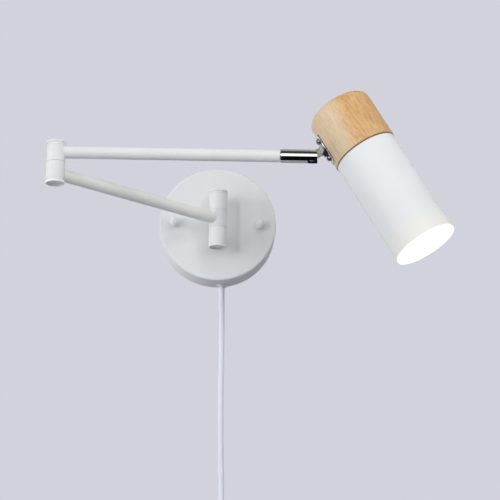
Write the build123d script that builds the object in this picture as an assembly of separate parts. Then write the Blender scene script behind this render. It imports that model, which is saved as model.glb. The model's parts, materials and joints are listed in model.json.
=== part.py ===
"""Swing arm wall sconce: canopy, folding arm in two tubes, and a tilting wood and steel spot head.

Millimetres. The origin is the centre of the canopy on the wall, X to the right, Z up,
and the wall is the plane Y = 0 with the lamp standing out towards -Y.
"""

from build123d import *
from math import cos, pi, radians, sin, sqrt, tan
import os

# Fits and play
FIT = 0.05
LOOSE = 0.3
AXIAL_PLAY = 0.05

# Canopy on the wall
CANOPY_DIAMETER = 120.0
CANOPY_DEPTH = 28.0
CANOPY_WALL = 1.5
CANOPY_EDGE_RADIUS = 2.0

# Mounting strap, its studs and the ball nuts that hold the canopy
STRAP_LENGTH = 104.0
STRAP_WIDTH = 22.0
STRAP_THICKNESS = 2.0
STRAP_CORNER = 5.5
WALL_SLOT_SPACING = 60.0
WALL_SLOT_LENGTH = 14.0
WALL_SLOT_WIDTH = 5.0
STUD_SPACING = 88.0
STUD_RADIUS = 2.0
STUD_NUT_FLATS = 7.0
STUD_NUT_HEIGHT = 3.2
BALL_NUT_DIAMETER = 10.4
BALL_NUT_COLLAR_RADIUS = 3.2
BALL_NUT_COLLAR_HEIGHT = 1.4
BALL_NUT_THREAD_DEPTH = 6.0

# Terminal block, earth screw and the lead inside the canopy
TERMINAL_LENGTH = 28.0
TERMINAL_WIDTH = 16.0
TERMINAL_HEIGHT = 12.0
TERMINAL_CORNER = 1.6
TERMINAL_SCREW_RADIUS = 1.7
TERMINAL_SCREW_LENGTH = 5.0
TERMINAL_SCREW_RECESS = 1.0
TERMINAL_SCREW_PITCH_X = 14.0
TERMINAL_SCREW_PITCH_Y = 8.0
EARTH_SCREW_X = -18.5
EARTH_SCREW_RADIUS = 2.0
EARTH_HEAD_RADIUS = 3.4
EARTH_HEAD_HEIGHT = 2.2

# Wall post: two fixed barrels on stems, with the arm's knuckle between them
POST_STANDOFF = 45.0
BARREL_DIAMETER = 18.0
KNUCKLE_HEIGHT = 18.0
WASHER_THICKNESS = 0.4
WASHER_RADIUS = 8.6
POST_BARREL_HEIGHT = 18.25
END_CAP_THICKNESS = 2.5
END_CAP_LIP = 0.3
END_CAP_EDGE = 0.4
END_CAP_DISH_RADIUS = 8.0
END_CAP_DISH_DEPTH = 2.2
TURNED_GROOVE_WIDTH = 0.5
TURNED_GROOVE_DEPTH = 0.4
BARREL_GROOVE_FROM_END = 2.2
SPIGOT_LENGTH = 1.8
STEM_DIAMETER = 12.0
STEM_HEIGHT = 18.6
NIPPLE_RADIUS = 4.0
NIPPLE_BORE_RADIUS = 2.6
NIPPLE_NUT_FLATS = 12.0
NIPPLE_NUT_HEIGHT = 3.0
NIPPLE_PROUD = 1.0
NIPPLE_IN_STEM = 6.0

# Hollow pivot bolts in the wall post and the elbow
BOLT_RADIUS = 5.0
BOLT_BORE_RADIUS = 3.2
BOLT_HEAD_RADIUS = 6.8
BOLT_HEAD_HEIGHT = 3.0
COUNTERBORE_RADIUS = 7.2
BOLT_NUT_FLATS = 11.8
BOLT_NUT_HEIGHT = 2.2
SPRING_WASHER_THICKNESS = 0.8

# Arms
ARM_TUBE_DIAMETER = 12.0
ARM_TUBE_WALL = 1.0
LOWER_ARM_LENGTH = 208.0
ARM_RISE = 21.5
ELBOW_SEAM_HEIGHT = 10.5
ELBOW_BARREL_HEIGHT = 18.5
LEAD_RADIUS = 1.9

# Rest pose as photographed, in degrees
LOWER_ARM_HEADING = -140.0
ELBOW_TURN = 138.2
HEAD_SWIVEL = -6.1
HEAD_TILT = 30.6

# Chrome swivel sleeve with its slotted end
SLEEVE_START = 215.0
SLEEVE_GAP = 0.3
SLEEVE_DIAMETER = 13.3
SLEEVE_LENGTH = 36.0
SLEEVE_EDGE = 1.0
SLEEVE_BORE_DEPTH = 12.0
SLOT_WIDTH = 7.2
SLOT_DEPTH = 12.5
SLOT_CUTTER_RADIUS = 8.0
HINGE_FROM_END = 5.9
HINGE_PIN_RADIUS = 1.6
BUSHING_LENGTH = 14.0
SWIVEL_NIPPLE_RADIUS = 4.0
SWIVEL_NIPPLE_BORE_RADIUS = 2.4
SWIVEL_NUT_RADIUS = 4.7
SWIVEL_NUT_LENGTH = 4.0

# Hinge tongue and the plate that it stands on
HINGE_REACH = 15.5
TONGUE_EYE_RADIUS = 4.4
TONGUE_NECK = 6.6
TONGUE_FOOT_LENGTH = 11.0
TONGUE_FOOT_WIDTH = 8.0
TONGUE_FOOT_HEIGHT = 2.4
PLATE_LENGTH = 33.0
PLATE_WIDTH = 11.0
PLATE_THICKNESS = 1.2
PLATE_CORNER = 3.0
PLATE_SCREW_SPACING = 20.0
PLATE_SCREW_RADIUS = 1.5
PLATE_SCREW_GRIP = 7.0
PLATE_SCREW_HEAD_RADIUS = 3.1
PLATE_SCREW_HEAD_HEIGHT = 2.6
SCREW_HEAD_ROUND = 1.5

# Spot head: turned wood cap, steel shade, lamp holder and bulb
WOOD_DIAMETER = 64.3
WOOD_LENGTH = 54.4
WOOD_ABOVE_HINGE = 33.0
WOOD_EDGE_RADIUS = 8.5
WOOD_RIM_CHAMFER = 0.5
WOOD_FLOOR = 19.0
WOOD_BORE_RADIUS = 23.0
WOOD_SPIGOT_LENGTH = 9.0
SHADE_DIAMETER = 62.2
SHADE_LENGTH = 110.6
SHADE_WALL = 1.2
SHADE_SEAM = 1.1
SHADE_MOUTH_ROUND = 0.5
HOLDER_RADIUS = 19.5
HOLDER_LENGTH = 36.5
HOLDER_FLOOR = 8.0
HOLDER_EDGE = 1.6
HOLDER_BORE_RADIUS = 13.4
HOLDER_SCREW_SPACING = 17.0
HOLDER_SCREW_RADIUS = 1.5
HOLDER_SCREW_HEAD_RADIUS = 2.8
HOLDER_SCREW_HEAD_HEIGHT = 2.0
HOLDER_SCREW_GRIP = 8.0
BULB_CAP_RADIUS = 13.0
BULB_CAP_LENGTH = 26.0
BULB_TIP_RADIUS = 5.0
BULB_TIP_LENGTH = 3.0
BULB_NECK_LENGTH = 14.0
BULB_SEAT_RADIUS = 19.0
GLOBE_RADIUS = 22.5
GLOBE_WALL = 1.0

# Supply cord: bushing, hanging stretch, switch, coil of the spare length, plug
CORD_DIAMETER = 6.0
CORD_X = 5.8
CORD_OFF_WALL = 7.5
BUSHING_BODY_RADIUS = 4.5
BUSHING_FLANGE_RADIUS = 5.4
BUSHING_FLANGE_THICKNESS = 1.2
SWITCH_LENGTH = 64.0
SWITCH_WIDTH = 27.0
SWITCH_DEPTH = 17.0
SWITCH_WALL = 2.0
SWITCH_SIDE = 4.0
SWITCH_END = 8.0
SWITCH_CORNER = 5.0
SWITCH_EDGE = 2.0
CAVITY_CORNER = 2.5
ROCKER_LENGTH = 20.0
ROCKER_WIDTH = 12.0
ROCKER_DEPTH = 8.0
ROCKER_PROUD = 1.6
ROCKER_PIN_RADIUS = 1.3
ROCKER_GAP = 0.8
ROCKER_DIP = 1.6
ROCKER_BEARING_LENGTH = 7.8
RELIEF_TIP_RADIUS = 3.9
RELIEF_GROOVES = 5
RELIEF_GROOVE_WIDTH = 1.2
RELIEF_GROOVE_DEPTH = 0.4
SWITCH_RELIEF_LENGTH = 20.0
SWITCH_RELIEF_RADIUS = 5.4
COIL_TURNS = 7
COIL_OUTER_RADIUS = 46.5
COIL_PITCH = 6.6
COIL_CLIMB_TURNS = 0.5
TIE_WIDTH = 12.0
TIE_THICKNESS = 1.4
TIE_CLEARANCE = 0.6
TIE_CORNER = 3.0
DROP_LENGTH = 34.0
TAIL_LENGTH = 50.0
PLUG_WIDTH = 23.0
PLUG_DEPTH = 15.0
PLUG_LENGTH = 32.0
PLUG_CORNER = 4.0
PLUG_EDGE = 2.0
PLUG_RELIEF_LENGTH = 26.0
PLUG_RELIEF_RADIUS = 5.4
BLADE_SPACING = 12.7
BLADE_WIDTH = 6.35
BLADE_THICKNESS = 1.5
BLADE_LENGTH = 17.0
BLADE_TIP_RADIUS = 1.6

BASE = (Align.CENTER, Align.CENTER, Align.MIN)
BARREL_RADIUS = BARREL_DIAMETER / 2
TUBE_RADIUS = ARM_TUBE_DIAMETER / 2
TUBE_BORE = TUBE_RADIUS - ARM_TUBE_WALL
CORD_RADIUS = CORD_DIAMETER / 2
WIRE_HOLE_RADIUS = LEAD_RADIUS + LOOSE

# Frames: the wall, each arm, the swivel sleeve and the head, with X along the arm
WALL = Location((0, 0, 0), (90, 0, 0))
POST = Location((0, -POST_STANDOFF, 0))
LOWER = POST * Location((0, 0, 0), (0, 0, LOWER_ARM_HEADING))
UPPER = LOWER * Location((LOWER_ARM_LENGTH, 0, ARM_RISE), (0, 0, ELBOW_TURN))
SWIVEL = UPPER * Location((0, 0, 0), (HEAD_SWIVEL, 0, 0))
HINGE_X = SLEEVE_START + SLEEVE_GAP + SLEEVE_LENGTH - HINGE_FROM_END
HEAD = SWIVEL * Location((HINGE_X, 0, 0), (0, -HEAD_TILT, 0))
HEAD_AXIS_X = HINGE_REACH + WOOD_DIAMETER / 2
HEAD_AXIS = HEAD * Location((HEAD_AXIS_X, 0, 0))
ALONG_X = Location((0, 0, 0), (0, 90, 0))

parts = {}


def ring(outer, inner, height):
    """A plain tube or washer standing on its local XY plane."""
    return Cylinder(outer, height, align=BASE) - Cylinder(inner, height, align=BASE)


def hex_nut(flats, bore, height):
    """A plain hexagon nut standing on its local XY plane."""
    blank = extrude(RegularPolygon(flats / 2, 6, major_radius=False), height)
    return blank - Cylinder(bore, height, align=BASE)


def round_head_screw(head_radius, head_height, shank_radius, shank_length):
    """A domed screw: head above the local XY plane, shank below it."""
    head = Cylinder(head_radius, head_height, align=BASE)
    head = fillet(head.edges().group_by(Axis.Z)[-1], SCREW_HEAD_ROUND)
    return head + Pos(0, 0, -shank_length) * Cylinder(shank_radius, shank_length, align=BASE)


def place(name, frame, *shapes):
    """Keep one node: the shapes, moved from their own frame to the lamp's."""
    moved = [frame * shape for shape in shapes]
    parts[name] = moved[0] if len(moved) == 1 else Compound(moved)


def both_sides(distance, shape):
    """The shape twice, at plus and minus a distance along local X."""
    return [Pos(side * distance, 0, 0) * shape for side in (-1, 1)]


# Canopy and what it hides; local Z points out of the wall and local Y points up

canopy_radius = CANOPY_DIAMETER / 2
canopy_bore = canopy_radius - CANOPY_WALL
canopy_face = CANOPY_DEPTH - CANOPY_WALL
canopy = Cylinder(canopy_radius, CANOPY_DEPTH, align=BASE)
canopy = fillet(canopy.edges().group_by(Axis.Z)[-1], CANOPY_EDGE_RADIUS)
canopy -= Cylinder(canopy_bore, canopy_face, align=BASE)
for hole in both_sides(STUD_SPACING / 2, Cylinder(STUD_RADIUS + LOOSE, 2 * CANOPY_DEPTH)):
    canopy -= hole
for side in (-1, 1):
    canopy -= Pos(0, side * STEM_HEIGHT, 0) * Cylinder(NIPPLE_RADIUS + FIT, 2 * CANOPY_DEPTH)
cord_down = Location((CORD_X, 0, CORD_OFF_WALL), (90, 0, 0))
canopy -= cord_down * Cylinder(BUSHING_BODY_RADIUS + FIT, CANOPY_DIAMETER, align=BASE)
place("canopy_cover", WALL, canopy)

strap = extrude(RectangleRounded(STRAP_LENGTH, STRAP_WIDTH, STRAP_CORNER), STRAP_THICKNESS)
wall_slot = extrude(SlotOverall(WALL_SLOT_LENGTH, WALL_SLOT_WIDTH), STRAP_THICKNESS)
for cut in both_sides(WALL_SLOT_SPACING / 2, wall_slot):
    strap -= cut
for cut in both_sides(STUD_SPACING / 2, Cylinder(STUD_RADIUS + FIT, 2 * STRAP_THICKNESS)):
    strap -= cut
strap -= Pos(EARTH_SCREW_X, 0, 0) * Cylinder(EARTH_SCREW_RADIUS + FIT, 2 * STRAP_THICKNESS)
place("mounting_strap", WALL, strap)

stud_length = CANOPY_DEPTH + BALL_NUT_THREAD_DEPTH - LOOSE
stud = Cylinder(STUD_RADIUS, stud_length, align=BASE)
place("strap_studs", WALL, *both_sides(STUD_SPACING / 2, stud))
stud_nut = Pos(0, 0, STRAP_THICKNESS) * hex_nut(STUD_NUT_FLATS, STUD_RADIUS + FIT, STUD_NUT_HEIGHT)
place("stud_lock_nuts", WALL, *both_sides(STUD_SPACING / 2, stud_nut))

ball_radius = BALL_NUT_DIAMETER / 2
ball_sink = sqrt(ball_radius**2 - BALL_NUT_COLLAR_RADIUS**2)
ball_nut = Cylinder(BALL_NUT_COLLAR_RADIUS, BALL_NUT_COLLAR_HEIGHT + ball_sink, align=BASE)
ball_nut += Pos(0, 0, BALL_NUT_COLLAR_HEIGHT + ball_sink) * Sphere(ball_radius)
ball_nut -= Cylinder(STUD_RADIUS + FIT, BALL_NUT_THREAD_DEPTH, align=BASE)
ball_nut = Pos(0, 0, CANOPY_DEPTH) * ball_nut
place("cap_nuts", WALL, *both_sides(STUD_SPACING / 2, ball_nut))

terminal = Pos(0, 0, STRAP_THICKNESS) * extrude(
    RectangleRounded(TERMINAL_LENGTH, TERMINAL_WIDTH, TERMINAL_CORNER), TERMINAL_HEIGHT
)
terminal_top = STRAP_THICKNESS + TERMINAL_HEIGHT
screw_hole_depth = TERMINAL_SCREW_LENGTH + TERMINAL_SCREW_RECESS
screw_places = GridLocations(TERMINAL_SCREW_PITCH_X, TERMINAL_SCREW_PITCH_Y, 2, 2)
terminal_screws = []
for spot in screw_places:
    hole = Cylinder(TERMINAL_SCREW_RADIUS + FIT, screw_hole_depth, align=BASE)
    terminal -= spot * Pos(0, 0, terminal_top - screw_hole_depth) * hole
    screw = Cylinder(TERMINAL_SCREW_RADIUS, TERMINAL_SCREW_LENGTH, align=BASE)
    terminal_screws.append(spot * Pos(0, 0, terminal_top - screw_hole_depth) * screw)
place("terminal_block", WALL, terminal)
place("terminal_screws", WALL, *terminal_screws)
earth_screw = round_head_screw(EARTH_HEAD_RADIUS, EARTH_HEAD_HEIGHT, EARTH_SCREW_RADIUS, STRAP_THICKNESS)
place("earth_screw", WALL, Pos(EARTH_SCREW_X, 0, STRAP_THICKNESS) * earth_screw)

# Cord bushing in the bottom of the canopy; local Z runs down along the cord

bushing_seat = canopy_radius
bushing_inner = sqrt(canopy_bore**2 - (CORD_X + BUSHING_FLANGE_RADIUS) ** 2) - BUSHING_FLANGE_THICKNESS
bushing_outer = bushing_seat + BUSHING_FLANGE_THICKNESS
bushing = Cylinder(BUSHING_BODY_RADIUS, bushing_outer - bushing_inner, align=BASE)
bushing += Cylinder(BUSHING_FLANGE_RADIUS, BUSHING_FLANGE_THICKNESS, align=BASE)
outer_flange = Cylinder(BUSHING_FLANGE_RADIUS, BUSHING_FLANGE_THICKNESS, align=BASE)
bushing += Pos(0, 0, bushing_seat - bushing_inner) * outer_flange
bushing -= Cylinder(CORD_RADIUS + FIT, bushing_outer - bushing_inner, align=BASE)
place("cord_bushing", WALL * cord_down, Pos(0, 0, bushing_inner) * bushing)
lead_start = TERMINAL_WIDTH / 2
inner_lead = Pos(0, 0, lead_start) * Cylinder(CORD_RADIUS, bushing_outer - lead_start, align=BASE)
place("inner_lead", WALL * cord_down, inner_lead)

# Wall post: stems, threaded nipples, fixed barrels, hollow bolt and end caps

barrel_start = KNUCKLE_HEIGHT / 2 + AXIAL_PLAY + WASHER_THICKNESS
barrel_end = barrel_start + POST_BARREL_HEIGHT
counterbore_depth = BOLT_HEAD_HEIGHT + LOOSE + SPIGOT_LENGTH
stem_length = POST_STANDOFF - CANOPY_DEPTH
post_in_wall = Location((0, 0, POST_STANDOFF), (-90, 0, 0))
stem = ring(STEM_DIAMETER / 2, NIPPLE_RADIUS + FIT, stem_length)
nipple_start = canopy_face - NIPPLE_NUT_HEIGHT - NIPPLE_PROUD
nipple_length = CANOPY_DEPTH + NIPPLE_IN_STEM - nipple_start
nipple = ring(NIPPLE_RADIUS, NIPPLE_BORE_RADIUS, nipple_length)
nipple_nut = hex_nut(NIPPLE_NUT_FLATS, NIPPLE_RADIUS + FIT, NIPPLE_NUT_HEIGHT)
barrel_clearance = post_in_wall * Cylinder(BARREL_RADIUS + FIT, 4 * barrel_end)
stem_places = [Pos(0, side * STEM_HEIGHT, 0) for side in (-1, 1)]
stems = [spot * Pos(0, 0, CANOPY_DEPTH) * stem - barrel_clearance for spot in stem_places]
place("post_stems", WALL, *stems)
place("stem_nipples", WALL, *[spot * Pos(0, 0, nipple_start) * nipple for spot in stem_places])
nipple_nut_start = canopy_face - NIPPLE_NUT_HEIGHT
place("nipple_nuts", WALL, *[spot * Pos(0, 0, nipple_nut_start) * nipple_nut for spot in stem_places])


def turned_groove():
    """What the lathe takes off round a barrel, standing on its local XY plane."""
    return ring(BARREL_DIAMETER, BARREL_RADIUS - TURNED_GROOVE_DEPTH, TURNED_GROOVE_WIDTH)


def pivot_barrel(height, bolt_bore, wire_height, wire_turn):
    """A barrel with its bolt bore, a counterbore and a groove at its top end and a hole for the lead."""
    barrel = ring(BARREL_RADIUS, bolt_bore, height)
    barrel -= Pos(0, 0, height - BARREL_GROOVE_FROM_END) * turned_groove()
    barrel -= Pos(0, 0, height - counterbore_depth) * Cylinder(
        COUNTERBORE_RADIUS, counterbore_depth, align=BASE
    )
    wire_hole = ALONG_X * Cylinder(WIRE_HOLE_RADIUS, BARREL_DIAMETER, align=BASE)
    return barrel - Pos(0, 0, wire_height) * Rot(0, 0, wire_turn) * wire_hole


def end_cap():
    """A dished cap a little wider than its barrel, with a turned groove and a spigot in the barrel."""
    cap = Cylinder(BARREL_RADIUS + END_CAP_LIP, END_CAP_THICKNESS, align=BASE)
    cap = chamfer(cap.edges().group_by(Axis.Z)[-1], END_CAP_EDGE)
    cap -= turned_groove()
    dish = Cylinder(END_CAP_DISH_RADIUS, END_CAP_DISH_DEPTH, align=BASE)
    cap -= Pos(0, 0, END_CAP_THICKNESS - END_CAP_DISH_DEPTH) * dish
    return cap + Pos(0, 0, -SPIGOT_LENGTH) * Cylinder(COUNTERBORE_RADIUS - FIT, SPIGOT_LENGTH, align=BASE)


def hollow_bolt(shank_length, windows):
    """A hollow bolt, head down below local zero, with wire windows at given heights."""
    bolt = Cylinder(BOLT_RADIUS, shank_length, align=BASE)
    bolt += Pos(0, 0, -BOLT_HEAD_HEIGHT) * Cylinder(BOLT_HEAD_RADIUS, BOLT_HEAD_HEIGHT, align=BASE)
    bolt -= Pos(0, 0, -BOLT_HEAD_HEIGHT) * Cylinder(
        BOLT_BORE_RADIUS, shank_length + BOLT_HEAD_HEIGHT, align=BASE
    )
    for height, turn in windows:
        window = Box(BARREL_DIAMETER, 2 * WIRE_HOLE_RADIUS, 2 * WIRE_HOLE_RADIUS)
        window = Pos(BARREL_RADIUS, 0, height) * window
        bolt -= Rot(0, 0, turn) * window
    return bolt


UPSIDE_DOWN = Location((0, 0, 0), (180, 0, 0))
FROM_WALL = 90.0
stem_in_barrel = STEM_HEIGHT - barrel_start
fixed_barrel = pivot_barrel(POST_BARREL_HEIGHT, BOLT_RADIUS + FIT, stem_in_barrel, FROM_WALL)
upper_barrel = Pos(0, 0, barrel_start) * fixed_barrel
place("post_upper_barrel", POST, upper_barrel)
lower_barrel = pivot_barrel(POST_BARREL_HEIGHT, BOLT_RADIUS + FIT, stem_in_barrel, -FROM_WALL)
place("post_lower_barrel", POST * UPSIDE_DOWN, Pos(0, 0, barrel_start) * lower_barrel)
cap_on_post = Pos(0, 0, barrel_end) * end_cap()
place("post_end_caps", POST, cap_on_post, UPSIDE_DOWN * cap_on_post)
washer = ring(WASHER_RADIUS, BOLT_RADIUS + FIT, WASHER_THICKNESS)
washer = Pos(0, 0, barrel_start - WASHER_THICKNESS) * washer
place("wall_friction_washers", POST, washer, UPSIDE_DOWN * washer)

shoulder = barrel_end - counterbore_depth
nut_stack = SPRING_WASHER_THICKNESS + BOLT_NUT_HEIGHT
wall_bolt = hollow_bolt(
    2 * shoulder + nut_stack,
    [(shoulder - STEM_HEIGHT, FROM_WALL), (shoulder + STEM_HEIGHT, FROM_WALL), (shoulder, -FROM_WALL)],
)
place("wall_pivot_bolt", POST, Pos(0, 0, -shoulder) * wall_bolt)
spring_washer = ring(BOLT_HEAD_RADIUS, BOLT_RADIUS + FIT, SPRING_WASHER_THICKNESS)
bolt_nut = hex_nut(BOLT_NUT_FLATS, BOLT_RADIUS + FIT, BOLT_NUT_HEIGHT)
place("wall_spring_washer", POST, Pos(0, 0, shoulder) * spring_washer)
place("wall_pivot_nut", POST, Pos(0, 0, shoulder + SPRING_WASHER_THICKNESS) * bolt_nut)

# Lower arm: knuckle on the wall post, tube, lower elbow barrel and the elbow's bolt

knuckle = ring(BARREL_RADIUS, BOLT_RADIUS + FIT, KNUCKLE_HEIGHT)
lead_bore = ALONG_X * Cylinder(WIRE_HOLE_RADIUS, BARREL_DIAMETER, align=BASE)
knuckle = Pos(0, 0, -KNUCKLE_HEIGHT / 2) * knuckle - lead_bore
place("wall_knuckle", LOWER, knuckle)

tube_barrel_cut = Cylinder(BARREL_RADIUS + FIT, 4 * BARREL_DIAMETER)
lower_tube = ALONG_X * ring(TUBE_RADIUS, TUBE_BORE, LOWER_ARM_LENGTH)
lower_tube -= tube_barrel_cut
lower_tube -= Pos(LOWER_ARM_LENGTH, 0, 0) * tube_barrel_cut
place("lower_arm_tube", LOWER, lower_tube)
lead_from = BOLT_RADIUS + LOOSE
lower_lead = ALONG_X * Cylinder(LEAD_RADIUS, LOWER_ARM_LENGTH - 2 * lead_from, align=BASE)
place("lower_arm_lead", LOWER, Pos(lead_from, 0, 0) * lower_lead)

ELBOW = LOWER * Location((LOWER_ARM_LENGTH, 0, 0))
TO_WALL_POST = 180.0
lower_elbow = pivot_barrel(ELBOW_BARREL_HEIGHT, BOLT_RADIUS + FIT, ELBOW_SEAM_HEIGHT, TO_WALL_POST)
lower_elbow = Pos(0, 0, ELBOW_SEAM_HEIGHT) * UPSIDE_DOWN * lower_elbow
place("elbow_lower_barrel", ELBOW, lower_elbow)
lower_cap = Pos(0, 0, ELBOW_SEAM_HEIGHT - ELBOW_BARREL_HEIGHT) * UPSIDE_DOWN * end_cap()
place("elbow_bottom_cap", ELBOW, lower_cap)
elbow_washer = ring(WASHER_RADIUS, BOLT_RADIUS + FIT, WASHER_THICKNESS)
place("elbow_friction_washer", ELBOW, Pos(0, 0, ELBOW_SEAM_HEIGHT) * elbow_washer)
upper_seam = ELBOW_SEAM_HEIGHT + WASHER_THICKNESS + AXIAL_PLAY
bolt_seat = ELBOW_SEAM_HEIGHT - ELBOW_BARREL_HEIGHT + counterbore_depth
nut_seat = upper_seam + ELBOW_BARREL_HEIGHT - counterbore_depth + AXIAL_PLAY
elbow_bolt = hollow_bolt(
    nut_seat - bolt_seat + nut_stack,
    [(-bolt_seat, TO_WALL_POST), (ARM_RISE - bolt_seat, ELBOW_TURN)],
)
place("elbow_bolt", ELBOW, Pos(0, 0, bolt_seat) * elbow_bolt)
place("elbow_spring_washer", ELBOW, Pos(0, 0, nut_seat) * spring_washer)
place("elbow_nut", ELBOW, Pos(0, 0, nut_seat + SPRING_WASHER_THICKNESS) * bolt_nut)

# Upper arm: upper elbow barrel, tube and the bushing in its end

upper_barrel_base = upper_seam - ARM_RISE
upper_elbow = pivot_barrel(ELBOW_BARREL_HEIGHT, BOLT_RADIUS + FIT, -upper_barrel_base, 0)
place("elbow_upper_barrel", UPPER, Pos(0, 0, upper_barrel_base) * upper_elbow)
place("elbow_top_cap", UPPER, Pos(0, 0, upper_barrel_base + ELBOW_BARREL_HEIGHT) * end_cap())
upper_tube = ALONG_X * ring(TUBE_RADIUS, TUBE_BORE, SLEEVE_START) - tube_barrel_cut
place("upper_arm_tube", UPPER, upper_tube)
swivel_bushing = ALONG_X * ring(TUBE_BORE - FIT, SWIVEL_NIPPLE_RADIUS + FIT, BUSHING_LENGTH)
place("swivel_bushing", UPPER, Pos(SLEEVE_START - BUSHING_LENGTH, 0, 0) * swivel_bushing)
swivel_nut_x = SLEEVE_START - BUSHING_LENGTH - LOOSE - SWIVEL_NUT_LENGTH
upper_lead = ALONG_X * Cylinder(LEAD_RADIUS, HINGE_X - SLOT_DEPTH - lead_from, align=BASE)
place("upper_arm_lead", UPPER, Pos(lead_from, 0, 0) * upper_lead)

# Swivel: hollow nipple, lock nut and the chrome sleeve with its slot and hinge pin

sleeve_x = SLEEVE_START + SLEEVE_GAP
sleeve = Cylinder(SLEEVE_DIAMETER / 2, SLEEVE_LENGTH, align=BASE)
sleeve = fillet(sleeve.edges().filter_by(GeomType.CIRCLE), SLEEVE_EDGE)
sleeve -= Cylinder(SWIVEL_NIPPLE_RADIUS + FIT, SLEEVE_BORE_DEPTH, align=BASE)
sleeve -= Cylinder(SWIVEL_NIPPLE_BORE_RADIUS, SLEEVE_LENGTH, align=BASE)
sleeve = Pos(sleeve_x, 0, 0) * ALONG_X * sleeve
slot_floor = sleeve_x + SLEEVE_LENGTH - SLOT_DEPTH
slot_cut = Rot(90, 0, 0) * Cylinder(SLOT_CUTTER_RADIUS, SLOT_WIDTH)
slot_cut += Pos(SLOT_DEPTH / 2, 0, 0) * Box(SLOT_DEPTH, SLOT_WIDTH, 2 * SLOT_CUTTER_RADIUS)
sleeve -= Pos(slot_floor + SLOT_CUTTER_RADIUS, 0, 0) * slot_cut
ACROSS = Location((HINGE_X, 0, 0), (90, 0, 0))
sleeve -= ACROSS * Cylinder(HINGE_PIN_RADIUS + FIT, 2 * SLEEVE_DIAMETER)
place("chrome_sleeve", SWIVEL, sleeve)
pin_half = sqrt((SLEEVE_DIAMETER / 2) ** 2 - HINGE_PIN_RADIUS**2) - FIT
place("hinge_pin", SWIVEL, ACROSS * Cylinder(HINGE_PIN_RADIUS, 2 * pin_half))
nipple_end = sleeve_x + SLEEVE_BORE_DEPTH
swivel_nipple = ALONG_X * ring(SWIVEL_NIPPLE_RADIUS, SWIVEL_NIPPLE_BORE_RADIUS, nipple_end - swivel_nut_x)
place("swivel_nipple", SWIVEL, Pos(swivel_nut_x, 0, 0) * swivel_nipple)
swivel_nut = ALONG_X * ring(SWIVEL_NUT_RADIUS, SWIVEL_NIPPLE_RADIUS + FIT, SWIVEL_NUT_LENGTH)
place("swivel_lock_nut", SWIVEL, Pos(swivel_nut_x, 0, 0) * swivel_nut)

# Head fixing: hinge tongue, curved plate and its two screws; local X points at the head's axis

wood_radius = WOOD_DIAMETER / 2
plate_outer = wood_radius + PLATE_THICKNESS
axis_here = Pos(HEAD_AXIS_X, 0, 0)
plate_face = HINGE_REACH - PLATE_THICKNESS
tongue_thickness = SLOT_WIDTH - 2 * LOOSE
tongue = Rot(90, 0, 0) * Cylinder(TONGUE_EYE_RADIUS, tongue_thickness)
tongue += Pos(plate_face / 2, 0, 0) * Box(plate_face, tongue_thickness, TONGUE_NECK)
foot_x = plate_face - TONGUE_FOOT_HEIGHT / 2
tongue += Pos(foot_x, 0, 0) * Box(TONGUE_FOOT_HEIGHT, TONGUE_FOOT_WIDTH, TONGUE_FOOT_LENGTH)
tongue -= Rot(90, 0, 0) * Cylinder(HINGE_PIN_RADIUS + FIT, SLOT_WIDTH)
foot_drop = plate_outer - sqrt(plate_outer**2 - (TONGUE_FOOT_WIDTH / 2) ** 2)
foot_skirt = Pos(plate_face + foot_drop / 2, 0, 0) * Box(foot_drop, TONGUE_FOOT_WIDTH, TONGUE_FOOT_LENGTH)
tongue += foot_skirt
tongue -= axis_here * Cylinder(plate_outer + FIT, 2 * PLATE_LENGTH)
place("hinge_tongue", HEAD, tongue)

plate = axis_here * Pos(0, 0, -PLATE_LENGTH) * ring(plate_outer, wood_radius + FIT, 2 * PLATE_LENGTH)
plate &= extrude(Plane.YZ * RectangleRounded(PLATE_WIDTH, PLATE_LENGTH, PLATE_CORNER), HEAD_AXIS_X)
screw_heights = [side * PLATE_SCREW_SPACING / 2 for side in (-1, 1)]
wood = Cylinder(wood_radius, WOOD_LENGTH, align=BASE)
wood = fillet(wood.edges().group_by(Axis.Z)[-1], WOOD_EDGE_RADIUS)
wood = chamfer(wood.edges().group_by(Axis.Z)[0], WOOD_RIM_CHAMFER)
shade_bore = SHADE_DIAMETER / 2 - SHADE_WALL
wood += Pos(0, 0, -WOOD_SPIGOT_LENGTH) * Cylinder(shade_bore - FIT, WOOD_SPIGOT_LENGTH, align=BASE)
bore_depth = WOOD_LENGTH + WOOD_SPIGOT_LENGTH - WOOD_FLOOR
wood -= Pos(0, 0, -WOOD_SPIGOT_LENGTH) * Cylinder(WOOD_BORE_RADIUS, bore_depth, align=BASE)
wood_rim = WOOD_ABOVE_HINGE - WOOD_LENGTH
wood = axis_here * Pos(0, 0, wood_rim) * wood
plate_screw = round_head_screw(
    PLATE_SCREW_HEAD_RADIUS, PLATE_SCREW_HEAD_HEIGHT, PLATE_SCREW_RADIUS, PLATE_SCREW_GRIP + PLATE_THICKNESS
)
INTO_WOOD = Location((plate_face, 0, 0), (0, -90, 0))
pilot = Cylinder(PLATE_SCREW_RADIUS + FIT, 2 * (PLATE_SCREW_GRIP + PLATE_THICKNESS))
plate_screws = []
for height in screw_heights:
    plate -= Pos(0, 0, height) * INTO_WOOD * pilot
    wood -= Pos(0, 0, height) * INTO_WOOD * pilot
    plate_screws.append(Pos(0, 0, height) * INTO_WOOD * plate_screw)
place("saddle_plate", HEAD, plate)
place("plate_screws", HEAD, *plate_screws)

# Shade, lamp holder and bulb; local Z runs up the head's axis

shade = ring(SHADE_DIAMETER / 2, shade_bore, SHADE_LENGTH)
shade = fillet(shade.edges().group_by(Axis.Z)[0], SHADE_MOUTH_ROUND)
place("shade_tube", HEAD_AXIS, Pos(0, 0, wood_rim - SHADE_SEAM - SHADE_LENGTH) * shade)

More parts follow.
